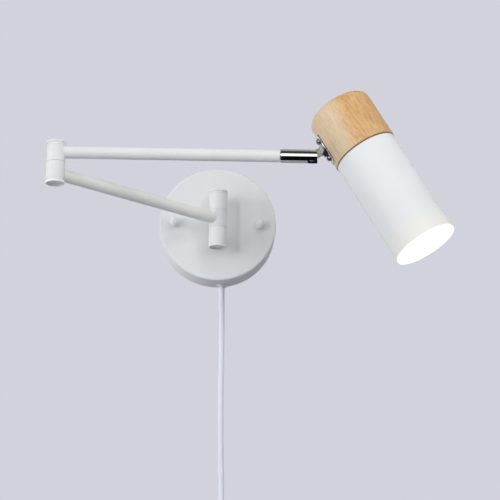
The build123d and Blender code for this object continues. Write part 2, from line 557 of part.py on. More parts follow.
holder_top = WOOD_ABOVE_HINGE - WOOD_FLOOR
holder = Cylinder(HOLDER_RADIUS, HOLDER_LENGTH, align=BASE)
holder = fillet(holder.edges().group_by(Axis.Z)[0], HOLDER_EDGE)
holder -= Cylinder(HOLDER_BORE_RADIUS, HOLDER_LENGTH - HOLDER_FLOOR, align=BASE)
holder = Pos(0, 0, holder_top - HOLDER_LENGTH) * holder
screw_seat = holder_top - HOLDER_FLOOR
holder_screw = UPSIDE_DOWN * round_head_screw(
    HOLDER_SCREW_HEAD_RADIUS, HOLDER_SCREW_HEAD_HEIGHT, HOLDER_SCREW_RADIUS, HOLDER_FLOOR + HOLDER_SCREW_GRIP
)
holder_screws = both_sides(HOLDER_SCREW_SPACING / 2, Pos(0, 0, screw_seat) * holder_screw)
holder_pilot = Cylinder(HOLDER_SCREW_RADIUS + FIT, 2 * (HOLDER_FLOOR + HOLDER_SCREW_GRIP))
for cut in both_sides(HOLDER_SCREW_SPACING / 2, Pos(0, 0, screw_seat) * holder_pilot):
    holder -= cut
    wood -= axis_here * cut
place("wood_cap", HEAD, wood)
place("lamp_holder", HEAD_AXIS, holder)
place("holder_screws", HEAD_AXIS, *holder_screws)

bulb_top = screw_seat - BULB_TIP_LENGTH
cap_bottom = bulb_top - BULB_CAP_LENGTH
bulb_cap = Pos(0, 0, cap_bottom) * Cylinder(BULB_CAP_RADIUS, BULB_CAP_LENGTH, align=BASE)
bulb_cap += Pos(0, 0, bulb_top) * Cylinder(BULB_TIP_RADIUS, BULB_TIP_LENGTH, align=BASE)
place("bulb_cap", HEAD_AXIS, bulb_cap)
neck_bottom = cap_bottom - BULB_NECK_LENGTH
neck = Cone(BULB_SEAT_RADIUS, BULB_CAP_RADIUS, BULB_NECK_LENGTH, align=BASE)
place("bulb_body", HEAD_AXIS, Pos(0, 0, neck_bottom) * neck)
globe_drop = sqrt(GLOBE_RADIUS**2 - BULB_SEAT_RADIUS**2)
globe = Sphere(GLOBE_RADIUS) - Sphere(GLOBE_RADIUS - GLOBE_WALL)
globe -= Pos(0, 0, globe_drop) * Cylinder(2 * GLOBE_RADIUS, GLOBE_RADIUS, align=BASE)
place("bulb_globe", HEAD_AXIS, Pos(0, 0, neck_bottom - globe_drop) * globe)

# Supply cord below the bushing, as it hangs along the wall

CORD_EXIT = (CORD_X, -CORD_OFF_WALL, -bushing_outer)
HANGING_ROUTE = [
    CORD_EXIT,
    (5.8, -7.5, -116.0),
    (6.4, -7.9, -172.0),
    (8.0, -9.4, -230.0),
    (10.0, -12.0, -284.0),
    (10.0, -12.0, -312.0),
]


def cord_radii(points):
    """The largest even bend at each inner point, with a short straight left between bends."""
    share_of_run = 0.45
    radii = []
    for before, here, after in zip(points, points[1:], points[2:]):
        run_in = Vector(here) - Vector(before)
        run_out = Vector(after) - Vector(here)
        half_turn = radians(run_in.get_angle(run_out)) / 2
        radii.append(share_of_run * min(run_in.length, run_out.length) / tan(half_turn))
    return radii


def cord_tube(path):
    """A round cord swept square along its path."""
    section = Plane(path @ 0, z_dir=path % 0) * Circle(CORD_RADIUS)
    tube = sweep(section, path=path)
    expected = pi * CORD_RADIUS**2 * path.length
    print("cord length", round(path.length, 1), "volume ratio", round(tube.volume / expected, 4))
    return tube


bend_radii = cord_radii(HANGING_ROUTE)
print("cord bend radii", [round(radius) for radius in bend_radii])
hanging_path = FilletPolyline(*HANGING_ROUTE, radius=bend_radii)
parts["cord_hanging"] = cord_tube(hanging_path)

# Switch on the cord: two shells and a rocker; local Z points out at the rocker, local Y up the cord

switch_x, switch_y, switch_top = HANGING_ROUTE[-1]
switch_middle = switch_top - SWITCH_LENGTH / 2
SWITCH = Location((switch_x, switch_y, switch_middle), (90, 0, 0))
half_depth = SWITCH_DEPTH / 2
switch_outline = RectangleRounded(SWITCH_WIDTH, SWITCH_LENGTH, SWITCH_CORNER)
cavity_outline = RectangleRounded(
    SWITCH_WIDTH - 2 * SWITCH_SIDE, SWITCH_LENGTH - 2 * SWITCH_END, CAVITY_CORNER
)
switch_base = extrude(switch_outline, -half_depth)
switch_base = fillet(switch_base.edges().group_by(Axis.Z)[0], SWITCH_EDGE)
switch_base -= extrude(cavity_outline, -(half_depth - SWITCH_WALL))
switch_cover = extrude(switch_outline, half_depth)
switch_cover = fillet(switch_cover.edges().group_by(Axis.Z)[-1], SWITCH_EDGE)
switch_cover -= extrude(cavity_outline, half_depth - SWITCH_WALL)
window = Box(ROCKER_WIDTH + 2 * ROCKER_GAP, ROCKER_LENGTH + 2 * ROCKER_GAP, SWITCH_DEPTH, align=BASE)
switch_cover -= window
pin_height = half_depth - SWITCH_WALL - ROCKER_PIN_RADIUS
pin_reach = SWITCH_WIDTH / 2 - SWITCH_SIDE
bearing = Box(2 * pin_reach, ROCKER_BEARING_LENGTH, half_depth - SWITCH_WALL, align=BASE)
switch_cover += bearing - window
pin_line = Pos(0, 0, pin_height) * ALONG_X
switch_cover -= pin_line * Cylinder(ROCKER_PIN_RADIUS + FIT, 2 * pin_reach - 2 * ROCKER_GAP)
rocker_top = half_depth + ROCKER_PROUD
rocker_bow = Cylinder(ROCKER_LENGTH, ROCKER_WIDTH)
rocker = Pos(0, 0, rocker_top - ROCKER_DEPTH) * Box(ROCKER_WIDTH, ROCKER_LENGTH, ROCKER_DEPTH, align=BASE)
rocker -= Pos(0, 0, rocker_top + ROCKER_LENGTH - ROCKER_DIP) * ALONG_X * rocker_bow
rocker += pin_line * Cylinder(ROCKER_PIN_RADIUS, 2 * pin_reach - 4 * ROCKER_GAP)
place("switch_base", SWITCH, switch_base)
place("switch_cover", SWITCH, switch_cover)
place("switch_rocker", SWITCH, rocker)


def cord_relief(root_radius, length):
    """A tapered grip round the cord with turned grooves, its root at local zero and its tip above."""
    grip = Cone(root_radius, RELIEF_TIP_RADIUS, length, align=BASE)
    groove_step = length / (RELIEF_GROOVES + 1)
    for index in range(RELIEF_GROOVES):
        height = (index + 1) * groove_step
        skin = root_radius + (RELIEF_TIP_RADIUS - root_radius) * height / length
        groove = ring(2 * root_radius, skin - RELIEF_GROOVE_DEPTH, RELIEF_GROOVE_WIDTH)
        grip -= Pos(0, 0, height - RELIEF_GROOVE_WIDTH / 2) * groove
    return grip - Cylinder(CORD_RADIUS + FIT, length, align=BASE)


relief_above = Pos(0, 0, SWITCH_LENGTH / 2) * cord_relief(SWITCH_RELIEF_RADIUS, SWITCH_RELIEF_LENGTH)
place("switch_reliefs", Pos(switch_x, switch_y, switch_middle), relief_above, UPSIDE_DOWN * relief_above)

# Coil of the spare cord, hanging below the switch: it spirals in on one layer and out on the next

switch_bottom = switch_top - SWITCH_LENGTH
drop = Pos(switch_x, switch_y, switch_bottom - DROP_LENGTH) * Cylinder(CORD_RADIUS, DROP_LENGTH, align=BASE)
parts["cord_drop"] = drop
coil_top = switch_bottom - DROP_LENGTH - CORD_DIAMETER
coil_centre = (switch_x + COIL_OUTER_RADIUS, switch_y, coil_top)


def coil_point(turn):
    """A point of the coil's centre line, with turn counted from its entry on the left."""
    middle = COIL_TURNS / 2
    radius = COIL_OUTER_RADIUS - COIL_PITCH * (middle - abs(turn - middle))
    climb = min(max((turn - middle) / COIL_CLIMB_TURNS + 1 / 2, 0), 1)
    layer = COIL_PITCH * (1 - cos(pi * climb)) / 2
    angle = pi + 2 * pi * turn
    return Vector(
        coil_centre[0] + radius * cos(angle), coil_centre[1] - layer, coil_centre[2] + radius * sin(angle)
    )


def coil_direction(turn):
    """The unit direction of the coil's centre line at a turn, and straight down at both ends."""
    if turn in (0, COIL_TURNS):
        return Vector(0, 0, -1)
    step = 0.001
    return (coil_point(turn + step) - coil_point(turn - step)).normalized()


def biarc(start, start_dir, end, end_dir):
    """Two tangent arcs from one point and direction to another."""
    chord = end - start
    dirs = start_dir + end_dir
    square = 2 * (1 - start_dir.dot(end_dir))
    along = chord.dot(dirs)
    reach = (-along + sqrt(along**2 + square * chord.dot(chord))) / square
    joint = (start + end + (start_dir - end_dir) * reach) / 2
    joint_dir = (joint - start - start_dir * reach).normalized()
    return [TangentArc(start, joint, tangent=start_dir), TangentArc(joint, end, tangent=joint_dir)]


QUARTERS = 4 * COIL_TURNS
coil_entry = coil_point(0)
coil_exit = coil_point(COIL_TURNS)
end_run = Vector(0, 0, -CORD_DIAMETER)
coil_edges = [Line(coil_entry - end_run, coil_entry)]
for quarter in range(QUARTERS):
    turn = quarter / 4
    next_turn = (quarter + 1) / 4
    coil_edges += biarc(
        coil_point(turn), coil_direction(turn), coil_point(next_turn), coil_direction(next_turn)
    )
coil_edges.append(Line(coil_exit, coil_exit + end_run))
coil_path = Wire([edge for curve in coil_edges for edge in curve.edges()])
parts["cord_coil"] = cord_tube(coil_path)


def least_coil_gap():
    """The least gap between turns of the coil, measured on points of its path."""
    count = 60 * COIL_TURNS
    points = [coil_path @ (index / count) for index in range(count + 1)]
    apart = count // COIL_TURNS // 2
    least = min(
        (points[i] - points[j]).length for i in range(count + 1) for j in range(i + apart, count + 1)
    )
    return least - CORD_DIAMETER


print("least gap between turns of the coil", round(least_coil_gap(), 2))

coil_inner_radius = COIL_OUTER_RADIUS - COIL_PITCH * COIL_TURNS / 2
sag = coil_inner_radius - sqrt(coil_inner_radius**2 - (TIE_WIDTH / 2) ** 2)
bundle_inner = coil_inner_radius - sag - CORD_RADIUS
bundle_outer = COIL_OUTER_RADIUS - COIL_PITCH / 2 + CORD_RADIUS
bundle_span = bundle_outer - bundle_inner + 2 * TIE_CLEARANCE
bundle_depth = COIL_PITCH + CORD_DIAMETER + 2 * TIE_CLEARANCE
tie = extrude(
    RectangleRounded(bundle_span + 2 * TIE_THICKNESS, bundle_depth + 2 * TIE_THICKNESS, TIE_CORNER),
    TIE_WIDTH / 2,
    both=True,
)
tie -= extrude(
    RectangleRounded(bundle_span, bundle_depth, TIE_CORNER - TIE_THICKNESS), TIE_WIDTH, both=True
)
tie_x = coil_centre[0] + (bundle_inner + bundle_outer) / 2
parts["coil_tie"] = Pos(tie_x, coil_centre[1] - COIL_PITCH / 2, coil_centre[2]) * tie

# Short tail and plug below the coil; local Z runs down the tail

TAIL = Location(coil_exit + end_run, (180, 0, 0))
place("cord_tail", TAIL, Cylinder(CORD_RADIUS, TAIL_LENGTH, align=BASE))
plug = extrude(RectangleRounded(PLUG_WIDTH, PLUG_DEPTH, PLUG_CORNER), PLUG_LENGTH)
plug = fillet(plug.edges().group_by(Axis.Z)[0], PLUG_EDGE)
plug += UPSIDE_DOWN * cord_relief(PLUG_RELIEF_RADIUS, PLUG_RELIEF_LENGTH)
place("plug_body", TAIL, Pos(0, 0, TAIL_LENGTH) * plug)
blade = Box(BLADE_THICKNESS, BLADE_WIDTH, BLADE_LENGTH, align=BASE)
blade = fillet(blade.edges().filter_by(Axis.X).group_by(Axis.Z)[-1], BLADE_TIP_RADIUS)
blade = Pos(0, 0, TAIL_LENGTH + PLUG_LENGTH) * blade
place("plug_blades", TAIL, *both_sides(BLADE_SPACING / 2, blade))

os.makedirs("parts", exist_ok=True)
for name, shape in parts.items():
    export_step(shape, f"parts/{name}.step")
print(len(parts), "nodes")
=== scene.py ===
import json
from math import cos, pi, radians, sin, sqrt

import bmesh
import bpy
from mathutils import Matrix, Vector


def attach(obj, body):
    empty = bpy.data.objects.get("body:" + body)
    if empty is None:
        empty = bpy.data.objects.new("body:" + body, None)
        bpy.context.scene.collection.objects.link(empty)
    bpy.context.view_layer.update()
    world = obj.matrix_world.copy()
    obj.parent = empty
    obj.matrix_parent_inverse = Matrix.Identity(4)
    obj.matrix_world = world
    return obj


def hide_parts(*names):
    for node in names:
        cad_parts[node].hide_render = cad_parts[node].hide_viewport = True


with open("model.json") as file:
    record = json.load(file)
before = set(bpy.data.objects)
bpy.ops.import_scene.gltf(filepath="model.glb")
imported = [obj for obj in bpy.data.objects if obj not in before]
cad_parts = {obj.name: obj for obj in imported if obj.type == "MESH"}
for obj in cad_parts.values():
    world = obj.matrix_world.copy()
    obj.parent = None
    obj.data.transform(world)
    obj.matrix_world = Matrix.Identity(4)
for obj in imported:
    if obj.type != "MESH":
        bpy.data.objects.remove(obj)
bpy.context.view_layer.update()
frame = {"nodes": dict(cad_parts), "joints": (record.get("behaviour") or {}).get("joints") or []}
nodes = frame["nodes"]
MM = 0.001


# The camera stands two metres out from the wall and below the lamp, looking up at it,
# with a long lens and a touch of roll.
camera_data = bpy.data.cameras.new("camera")
camera_data.sensor_width = 36.0
camera_data.lens = 151.2
camera = bpy.data.objects.new("camera", camera_data)
bpy.context.scene.collection.objects.link(camera)
camera_place = Vector((-35.04, -2094.07, -640.06)) * MM
camera_turn_right = radians(1.904)
camera_look_up = radians(16.524)
camera_roll = radians(1.0)
camera.matrix_world = (
    Matrix.Translation(camera_place)
    @ Matrix.Rotation(-camera_turn_right, 4, "Z")
    @ Matrix.Rotation(pi / 2 + camera_look_up, 4, "X")
    @ Matrix.Rotation(camera_roll, 4, "Z")
)
bpy.context.scene.camera = camera
bpy.context.scene.view_settings.view_transform = "Standard"


# The studio floor is a pale painted board well below the lamp, so that it only lends
# the undersides and the chrome a little light. Seen straight, it fades into the backdrop.
def new_material(name):
    """A node material, its node tree and its Principled shader."""
    material = bpy.data.materials.new(name)
    material.use_nodes = True
    tree = material.node_tree
    return material, tree, tree.nodes["Principled BSDF"]


def add_node(tree, kind, values=None, **links):
    """A shader node with socket values or settings by name, and its inputs linked by name."""
    node = tree.nodes.new(kind)
    for name, value in (values or {}).items():
        if name in node.inputs:
            node.inputs[name].default_value = value
        else:
            setattr(node, name, value)
    for name, socket in links.items():
        tree.links.new(socket, node.inputs[name.replace("_", " ")])
    return node


FLOOR_HEIGHT = -1.35
FLOOR_SIZE = 8.0
FLOOR_GREY = (0.62, 0.62, 0.65, 1)
FLOOR_SEEN = (0.42, 0.42, 0.47, 1)
floor_mesh = bpy.data.meshes.new("floor")
floor_form = bmesh.new()
bmesh.ops.create_grid(floor_form, x_segments=1, y_segments=1, size=FLOOR_SIZE / 2)
bmesh.ops.translate(floor_form, verts=floor_form.verts, vec=(0, 0, FLOOR_HEIGHT))
floor_form.to_mesh(floor_mesh)
floor_form.free()
floor = bpy.data.objects.new("floor", floor_mesh)
bpy.context.scene.collection.objects.link(floor)
floor_paint, floor_tree, floor_shader = new_material("floor_paint")
floor_shader.inputs["Base Color"].default_value = FLOOR_GREY
floor_shader.inputs["Roughness"].default_value = 0.8
floor_shader.inputs["Emission Color"].default_value = FLOOR_SEEN
floor_rays = add_node(floor_tree, "ShaderNodeLightPath")
floor_tree.links.new(floor_rays.outputs["Is Camera Ray"], floor_shader.inputs["Emission Strength"])
floor_mesh.materials.append(floor_paint)


# The backdrop is a plain lavender grey paper on every side, which the camera, the gloss and
# the glass see, while the room itself lights the lamp more weakly and a little cooler.
BACKDROP = (0.6445, 0.6445, 0.7157, 1)
ROOM_LIGHT = (0.93, 0.95, 1.0, 1)
ROOM_STRENGTH = 0.23
world = bpy.data.worlds.new("studio")
bpy.context.scene.world = world
world.use_nodes = True
sky = world.node_tree
sky.nodes.clear()
rays = add_node(sky, "ShaderNodeLightPath")
seen = rays.outputs["Is Camera Ray"]
for other in ("Is Glossy Ray", "Is Transmission Ray"):
    either_ray = add_node(sky, "ShaderNodeMath", {"operation": "MAXIMUM"})
    sky.links.new(seen, either_ray.inputs[0])
    sky.links.new(rays.outputs[other], either_ray.inputs[1])
    seen = either_ray.outputs[0]
room = add_node(sky, "ShaderNodeBackground", {"Color": ROOM_LIGHT, "Strength": ROOM_STRENGTH})
backdrop = add_node(sky, "ShaderNodeBackground", {"Color": BACKDROP, "Strength": 1.0})
either = add_node(sky, "ShaderNodeMixShader", Fac=seen)
sky.links.new(room.outputs[0], either.inputs[1])
sky.links.new(backdrop.outputs[0], either.inputs[2])
add_node(sky, "ShaderNodeOutputWorld", Surface=either.outputs[0])


# Studio lamps: three tall boxes and a broad kicker on the left, three small boxes and a high one on the
# right, a strip above the camera and two soft boxes overhead. Bearings count to the right of the front.
# Glossy pieces mirror only three of them.
LAMP_TARGET = Vector((30, -60, 10)) * MM
WARM_WHITE = (1.0, 0.99, 0.97)


def studio_lamp(name, bearing, elevation, distance, width, height, power, in_gloss=False):
    """An area lamp aimed at the lamp head and arms from a bearing and a height angle in degrees."""
    data = bpy.data.lights.new(name, "AREA")
    data.shape = "RECTANGLE"
    data.size = width
    data.size_y = height
    data.energy = power
    data.color = WARM_WHITE
    lamp = bpy.data.objects.new(name, data)
    level = cos(radians(elevation)) * distance
    offset = Vector(
        (sin(radians(bearing)) * level, -cos(radians(bearing)) * level, sin(radians(elevation)) * distance)
    )
    aim = offset.to_track_quat("Z", "Y").to_matrix().to_4x4()
    lamp.matrix_world = Matrix.Translation(LAMP_TARGET + offset) @ aim
    lamp.visible_camera = False
    lamp.visible_glossy = in_gloss
    bpy.context.scene.collection.objects.link(lamp)


studio_lamp("far_left_lamp", -67, 0, 2.4, 0.33, 1.05, 10.8, in_gloss=True)
studio_lamp("mid_left_lamp", -50, 3, 2.6, 0.4, 1.0, 6.8)
studio_lamp("left_lamp", -36, 4, 2.25, 0.24, 1.05, 9.1, in_gloss=True)
studio_lamp("left_kicker", -100, -3, 1.8, 0.7, 0.7, 9.4)
studio_lamp("slim_lamp", 20, 2, 1.8, 0.25, 0.4, 2.5)
studio_lamp("raised_lamp", 28, 20, 1.8, 0.35, 0.4, 3.8)
studio_lamp("right_lamp", 40, 2, 1.4, 0.2, 0.3, 2.9, in_gloss=True)
studio_lamp("side_lamp", 82, 40, 1.6, 0.7, 0.7, 3.1)
studio_lamp("front_strip", 4, 17, 1.7, 1.4, 0.3, 1.2)
studio_lamp("top_lamp", -10, 62, 0.8, 0.4, 0.4, 0.8)
studio_lamp("high_right_lamp", 35, 45, 1.8, 0.7, 0.7, 2.3)


# Cards stand round the lamp out of the picture: a white one in front, a grey one above and behind, and
# dark ones below, above and to the left. Only mirrors see them, and they give the chrome its clean bands.
def mirror_card(name, corners, brightness):
    """A flat card between corners, in metres, that shows only in reflections."""
    form = bmesh.new()
    form.faces.new([form.verts.new(corner) for corner in corners])
    mesh = bpy.data.meshes.new(name)
    form.to_mesh(mesh)
    form.free()
    paint, tree, shader = new_material(name)
    shader.inputs["Base Color"].default_value = (0, 0, 0, 1)
    shader.inputs["Specular IOR Level"].default_value = 0.0
    shader.inputs["Emission Color"].default_value = (1, 1, 1, 1)
    shader.inputs["Emission Strength"].default_value = brightness
    mesh.materials.append(paint)
    card = bpy.data.objects.new(name, mesh)
    card.visible_camera = False
    card.visible_diffuse = False
    card.visible_shadow = False
    card.visible_transmission = False
    bpy.context.scene.collection.objects.link(card)


mirror_card("low_card", [(-3, -2.6, -0.66), (3, -2.6, -0.66), (3, -0.1, -1.3), (-3, -0.1, -1.3)], 0.004)
mirror_card(
    "front_card", [(-1.2, -2.7, -0.72), (1.2, -2.7, -0.72), (1.2, -2.2, 1.09), (-1.2, -2.2, 1.09)], 1.28
)
mirror_card("high_card", [(-3, -1.5, 0.74), (3, -1.5, 0.74), (3, -0.5, 1.5), (-3, -0.5, 1.5)], 0.05)
mirror_card("back_card", [(-3, -0.5, 1.5), (3, -0.5, 1.5), (3, 1.6, 0.9), (-3, 1.6, 0.9)], 0.35)
mirror_card(
    "left_card", [(-1.6, -1.6, -1.2), (-1.6, -1.6, 0.25), (-1.6, 0.4, 0.25), (-1.6, 0.4, -1.2)], 0.02
)


# The canopy is a spun steel cup, 120 mm across, under a smooth satin white powder coat. The coat has
# a faint orange peel and a slightly uneven gloss. Two ball nuts, coated the same, hold the cup on.
def dress(material, *names):
    """Give CAD nodes a material in their own slots."""
    for name in names:
        for slot in nodes[name].material_slots:
            slot.material = material


def surface_noise_group():
    """Fine peel and broad mottle over a piece, shared by the painted, moulded and plated finishes."""
    group = bpy.data.node_groups.new("surface_noise", "ShaderNodeTree")
    for name in ("Peel Scale", "Mottle Scale"):
        group.interface.new_socket(name, in_out="INPUT", socket_type="NodeSocketFloat")
    for name in ("Peel", "Mottle"):
        group.interface.new_socket(name, in_out="OUTPUT", socket_type="NodeSocketFloat")
    entry = group.nodes.new("NodeGroupInput")
    leave = group.nodes.new("NodeGroupOutput")
    place = group.nodes.new("ShaderNodeTexCoord")
    peel = add_node(group, "ShaderNodeTexNoise", {"Detail": 2.0}, Vector=place.outputs["Object"])
    mottle = add_node(group, "ShaderNodeTexNoise", {"Detail": 4.0}, Vector=place.outputs["Object"])
    group.links.new(entry.outputs["Peel Scale"], peel.inputs["Scale"])
    group.links.new(entry.outputs["Mottle Scale"], mottle.inputs["Scale"])
    group.links.new(peel.outputs["Fac"], leave.inputs["Peel"])
    group.links.new(mottle.outputs["Fac"], leave.inputs["Mottle"])
    return group


surface_noise = surface_noise_group()


def ramp(tree, factor, *stops):
    """A colour ramp fed by a value, from (position, grey or colour) stops."""
    node = add_node(tree, "ShaderNodeValToRGB", Fac=factor)
    elements = node.color_ramp.elements
    while len(elements) < len(stops):
        elements.new(0.5)
    for element, (position, colour) in zip(elements, stops):
        element.position = position
        element.color = (colour, colour, colour, 1) if isinstance(colour, float) else (*colour, 1)
    return node.outputs["Color"]


TONE_LOW, TONE_HIGH = 0.3, 0.7
GLOSS_LOW, GLOSS_HIGH = 0.35, 0.65


def finish_coat(name, deep, pale, gloss, dull, peel_scale, peel_depth, mottle_scale=45.0, metal=0.0):
    """A coat, moulding or plate: two close colours, a roughness between two values, and a fine bump."""
    material, tree, shader = new_material(name)
    noise = add_node(tree, "ShaderNodeGroup", {"node_tree": surface_noise})
    noise.inputs["Peel Scale"].default_value = peel_scale
    noise.inputs["Mottle Scale"].default_value = mottle_scale
    colour = ramp(tree, noise.outputs["Mottle"], (TONE_LOW, deep), (TONE_HIGH, pale))
    tree.links.new(colour, shader.inputs["Base Color"])
    rough = ramp(tree, noise.outputs["Mottle"], (GLOSS_LOW, gloss), (GLOSS_HIGH, dull))
    tree.links.new(rough, shader.inputs["Roughness"])
    bump = add_node(tree, "ShaderNodeBump", {"Distance": peel_depth}, Height=noise.outputs["Peel"])
    tree.links.new(bump.outputs["Normal"], shader.inputs["Normal"])
    shader.inputs["Metallic"].default_value = metal
    return material


def satin_coat(name, deep, pale):
    """Satin white powder coat between two close tones."""
    return finish_coat(name, deep, pale, gloss=0.50, dull=0.60, peel_scale=1300.0, peel_depth=0.00002)


white_coat = satin_coat("white_coat", (0.80, 0.83, 0.845), (0.83, 0.857, 0.87))
dress(white_coat, "cap_nuts")


TOUCHING = 0.0001
SMOOTH_UNDER = radians(32)
ON_THE_RIM = 0.01


def lathe(form, profile, steps):
    """Spin an open profile of (radius, height) points round local Z into a closed turned shape."""
    points = [form.verts.new((radius, 0, height)) for radius, height in profile]
    lines = [form.edges.new(pair) for pair in zip(points, points[1:])]
    bmesh.ops.spin(form, geom=points + lines, axis=(0, 0, 1), angle=2 * pi, steps=steps, use_merge=True)
    bmesh.ops.remove_doubles(form, verts=form.verts, dist=TOUCHING)
    bmesh.ops.recalc_face_normals(form, faces=form.faces)


def new_piece(name, form, material, body, slot, *replaced):
    """Turn a finished form into an object at the origin that rides a body and stands for CAD nodes."""
    mesh = bpy.data.meshes.new(name)
    form.to_mesh(mesh)
    form.free()
    mesh.shade_smooth()
    mesh.set_sharp_from_angle(angle=SMOOTH_UNDER)
    mesh.materials.append(material)
    piece = bpy.data.objects.new(name, mesh)
    bpy.context.scene.collection.objects.link(piece)
    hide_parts(*replaced)
    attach(piece, body)
    return piece


def round_rim(form, radius, height, size, segments):
    """Bevel the ring edge of a turned shape at a radius and height."""
    ring = []
    for edge in form.edges:
        spots = [(vert.co.to_2d().length, vert.co.z) for vert in edge.verts]
        if all(abs(out - radius) < ON_THE_RIM and abs(up - height) < ON_THE_RIM for out, up in spots):
            ring.append(edge)
    bmesh.ops.bevel(
        form, geom=ring, offset=size, segments=segments, profile=0.5, affect="EDGES", material=-1
    )


CANOPY_RADIUS = 60.0
CANOPY_DEPTH = 28.0
CANOPY_WALL = 1.5
CANOPY_EDGE = 2.0
CANOPY_BACK_EASE = 0.4
canopy_form = bmesh.new()
canopy_profile = [
    (0, CANOPY_DEPTH), (CANOPY_RADIUS, CANOPY_DEPTH), (CANOPY_RADIUS, 0), (CANOPY_RADIUS - CANOPY_WALL, 0),
    (CANOPY_RADIUS - CANOPY_WALL, CANOPY_DEPTH - CANOPY_WALL), (0, CANOPY_DEPTH - CANOPY_WALL),
]
lathe(canopy_form, canopy_profile, steps=192)
round_rim(canopy_form, CANOPY_RADIUS, CANOPY_DEPTH, CANOPY_EDGE, segments=8)
round_rim(canopy_form, CANOPY_RADIUS, 0, CANOPY_BACK_EASE, segments=3)
out_from_wall = Matrix.Rotation(pi / 2, 4, "X") @ Matrix.Scale(MM, 4)
bmesh.ops.transform(canopy_form, matrix=out_from_wall, verts=canopy_form.verts)
new_piece("spun_canopy", canopy_form, white_coat, "wall_base", "white_paint", "canopy_cover")


# Behind the canopy: a pressed steel strap with two studs and their nuts, all bright zinc plate,
# a moulded terminal block, and turned brass screws for the wires and the earth.
zinc_plate = finish_coat(
    "zinc_plate", (0.50, 0.51, 0.53), (0.66, 0.67, 0.69), gloss=0.28, dull=0.42,
    peel_scale=700.0, peel_depth=0.00001, mottle_scale=220.0, metal=1.0,
)
dress(zinc_plate, "mounting_strap", "strap_studs", "stud_lock_nuts", "stem_nipples", "nipple_nuts")
white_moulding = finish_coat(
    "white_moulding", (0.79, 0.80, 0.83), (0.83, 0.84, 0.86), gloss=0.28, dull=0.38,
    peel_scale=1700.0, peel_depth=0.00001,
)
dress(white_moulding, "terminal_block", "cord_bushing")
turned_brass = finish_coat(
    "turned_brass", (0.60, 0.44, 0.18), (0.74, 0.57, 0.27), gloss=0.24, dull=0.36,
    peel_scale=900.0, peel_depth=0.00001, mottle_scale=200.0, metal=1.0,
)
dress(turned_brass, "terminal_screws", "earth_screw")


# The wall post: two fixed barrels on stems, with the arm's knuckle between them, turned end caps and
# nylon washers. A hollow zinc plated bolt with a nut and a spring washer clamps the stack.
dress(white_coat, "post_stems", "post_upper_barrel", "post_lower_barrel", "post_end_caps")
dress(zinc_plate, "wall_pivot_bolt", "wall_spring_washer", "wall_pivot_nut")
natural_nylon = finish_coat(
    "natural_nylon", (0.70, 0.69, 0.64), (0.74, 0.73, 0.68), gloss=0.40, dull=0.50,
    peel_scale=1500.0, peel_depth=0.00001,
)
dress(natural_nylon, "wall_friction_washers")


# Lower arm, elbow and upper arm: drawn steel tubes welded to turned barrels and coated white,
# with the elbow's hollow bolt and its nut inside, and the supply lead through both tubes. The coat on
# the elbow and upper arm is painted a shade darker as shade, on the lower tube a shade warmer and paler
# as painted light, and on the elbow's lower cap a shade whiter as painted light on its underside.
# Painted shade: the elbow and upper arm wear a darker copy of the white coat.
shaded_arm_coat = satin_coat("shaded_arm_coat", (0.775, 0.80, 0.81), (0.805, 0.827, 0.835))
dress(
    shaded_arm_coat,
    "wall_knuckle", "elbow_lower_barrel", "elbow_upper_barrel", "elbow_top_cap", "upper_arm_tube",
)
# Painted light: the elbow's lower cap wears a whiter copy of the coat, lighting its underside.
painted_light_cap_coat = satin_coat("painted_light_cap_coat", (0.90, 0.915, 0.925), (0.93, 0.94, 0.95))
dress(painted_light_cap_coat, "elbow_bottom_cap")
# Painted light: the lower tube wears a warmer, paler copy of the coat.
painted_warm_light_coat = satin_coat("painted_warm_light_coat", (0.83, 0.853, 0.825), (0.86, 0.88, 0.855))
dress(painted_warm_light_coat, "lower_arm_tube")
dress(zinc_plate, "elbow_bolt", "elbow_nut", "elbow_spring_washer")
dress(natural_nylon, "elbow_friction_washer", "swivel_bushing")
cord_jacket = finish_coat(
    "cord_jacket", (0.745, 0.765, 0.88), (0.775, 0.795, 0.905), gloss=0.36, dull=0.46,
    peel_scale=1500.0, peel_depth=0.00001,
)
dress(cord_jacket, "inner_lead", "lower_arm_lead", "upper_arm_lead")


# Swivel sleeve with its slotted end: turned steel under polished chrome. The slot is sawn with a disc
# cutter, and its walls are painted dark as shade. The pin is pressed in and ground round with the sleeve.
joints = {joint["name"]: joint for joint in frame["joints"]}
arm_line = Vector(joints["head_swivel"]["axis"])
tilt_line = Vector(joints["head_tilt"]["axis"])
hinge_point = Vector(joints["head_tilt"]["pos_m"])
level_up = arm_line.cross(tilt_line)
sleeve_turn = Matrix((arm_line, tilt_line, level_up)).transposed()


def own_place(tree, origin, turn):
    """A piece's own coordinates in millimetres, from its origin and its turn in the room."""
    place = add_node(tree, "ShaderNodeTexCoord")
    own = add_node(tree, "ShaderNodeMapping", {"vector_type": "TEXTURE"}, Vector=place.outputs["Object"])
    own.inputs["Location"].default_value = origin
    own.inputs["Rotation"].default_value = turn.to_euler()
    own.inputs["Scale"].default_value = (MM, MM, MM)
    return own.outputs["Vector"]


def own_axes(tree, origin, turn):
    """A piece's own coordinates, each apart, by the names X, Y and Z."""
    return add_node(tree, "ShaderNodeSeparateXYZ", Vector=own_place(tree, origin, turn)).outputs


def mixed(tree, amount, first, second, kind="MIX"):
    """Blend two colours by a value or a number."""
    node = add_node(tree, "ShaderNodeMix", {"data_type": "RGBA", "blend_type": kind})
    for socket, source in zip((node.inputs[0], node.inputs[6], node.inputs[7]), (amount, first, second)):
        if isinstance(source, bpy.types.NodeSocket):
            tree.links.new(source, socket)
        else:
            socket.default_value = source
    return node.outputs[2]


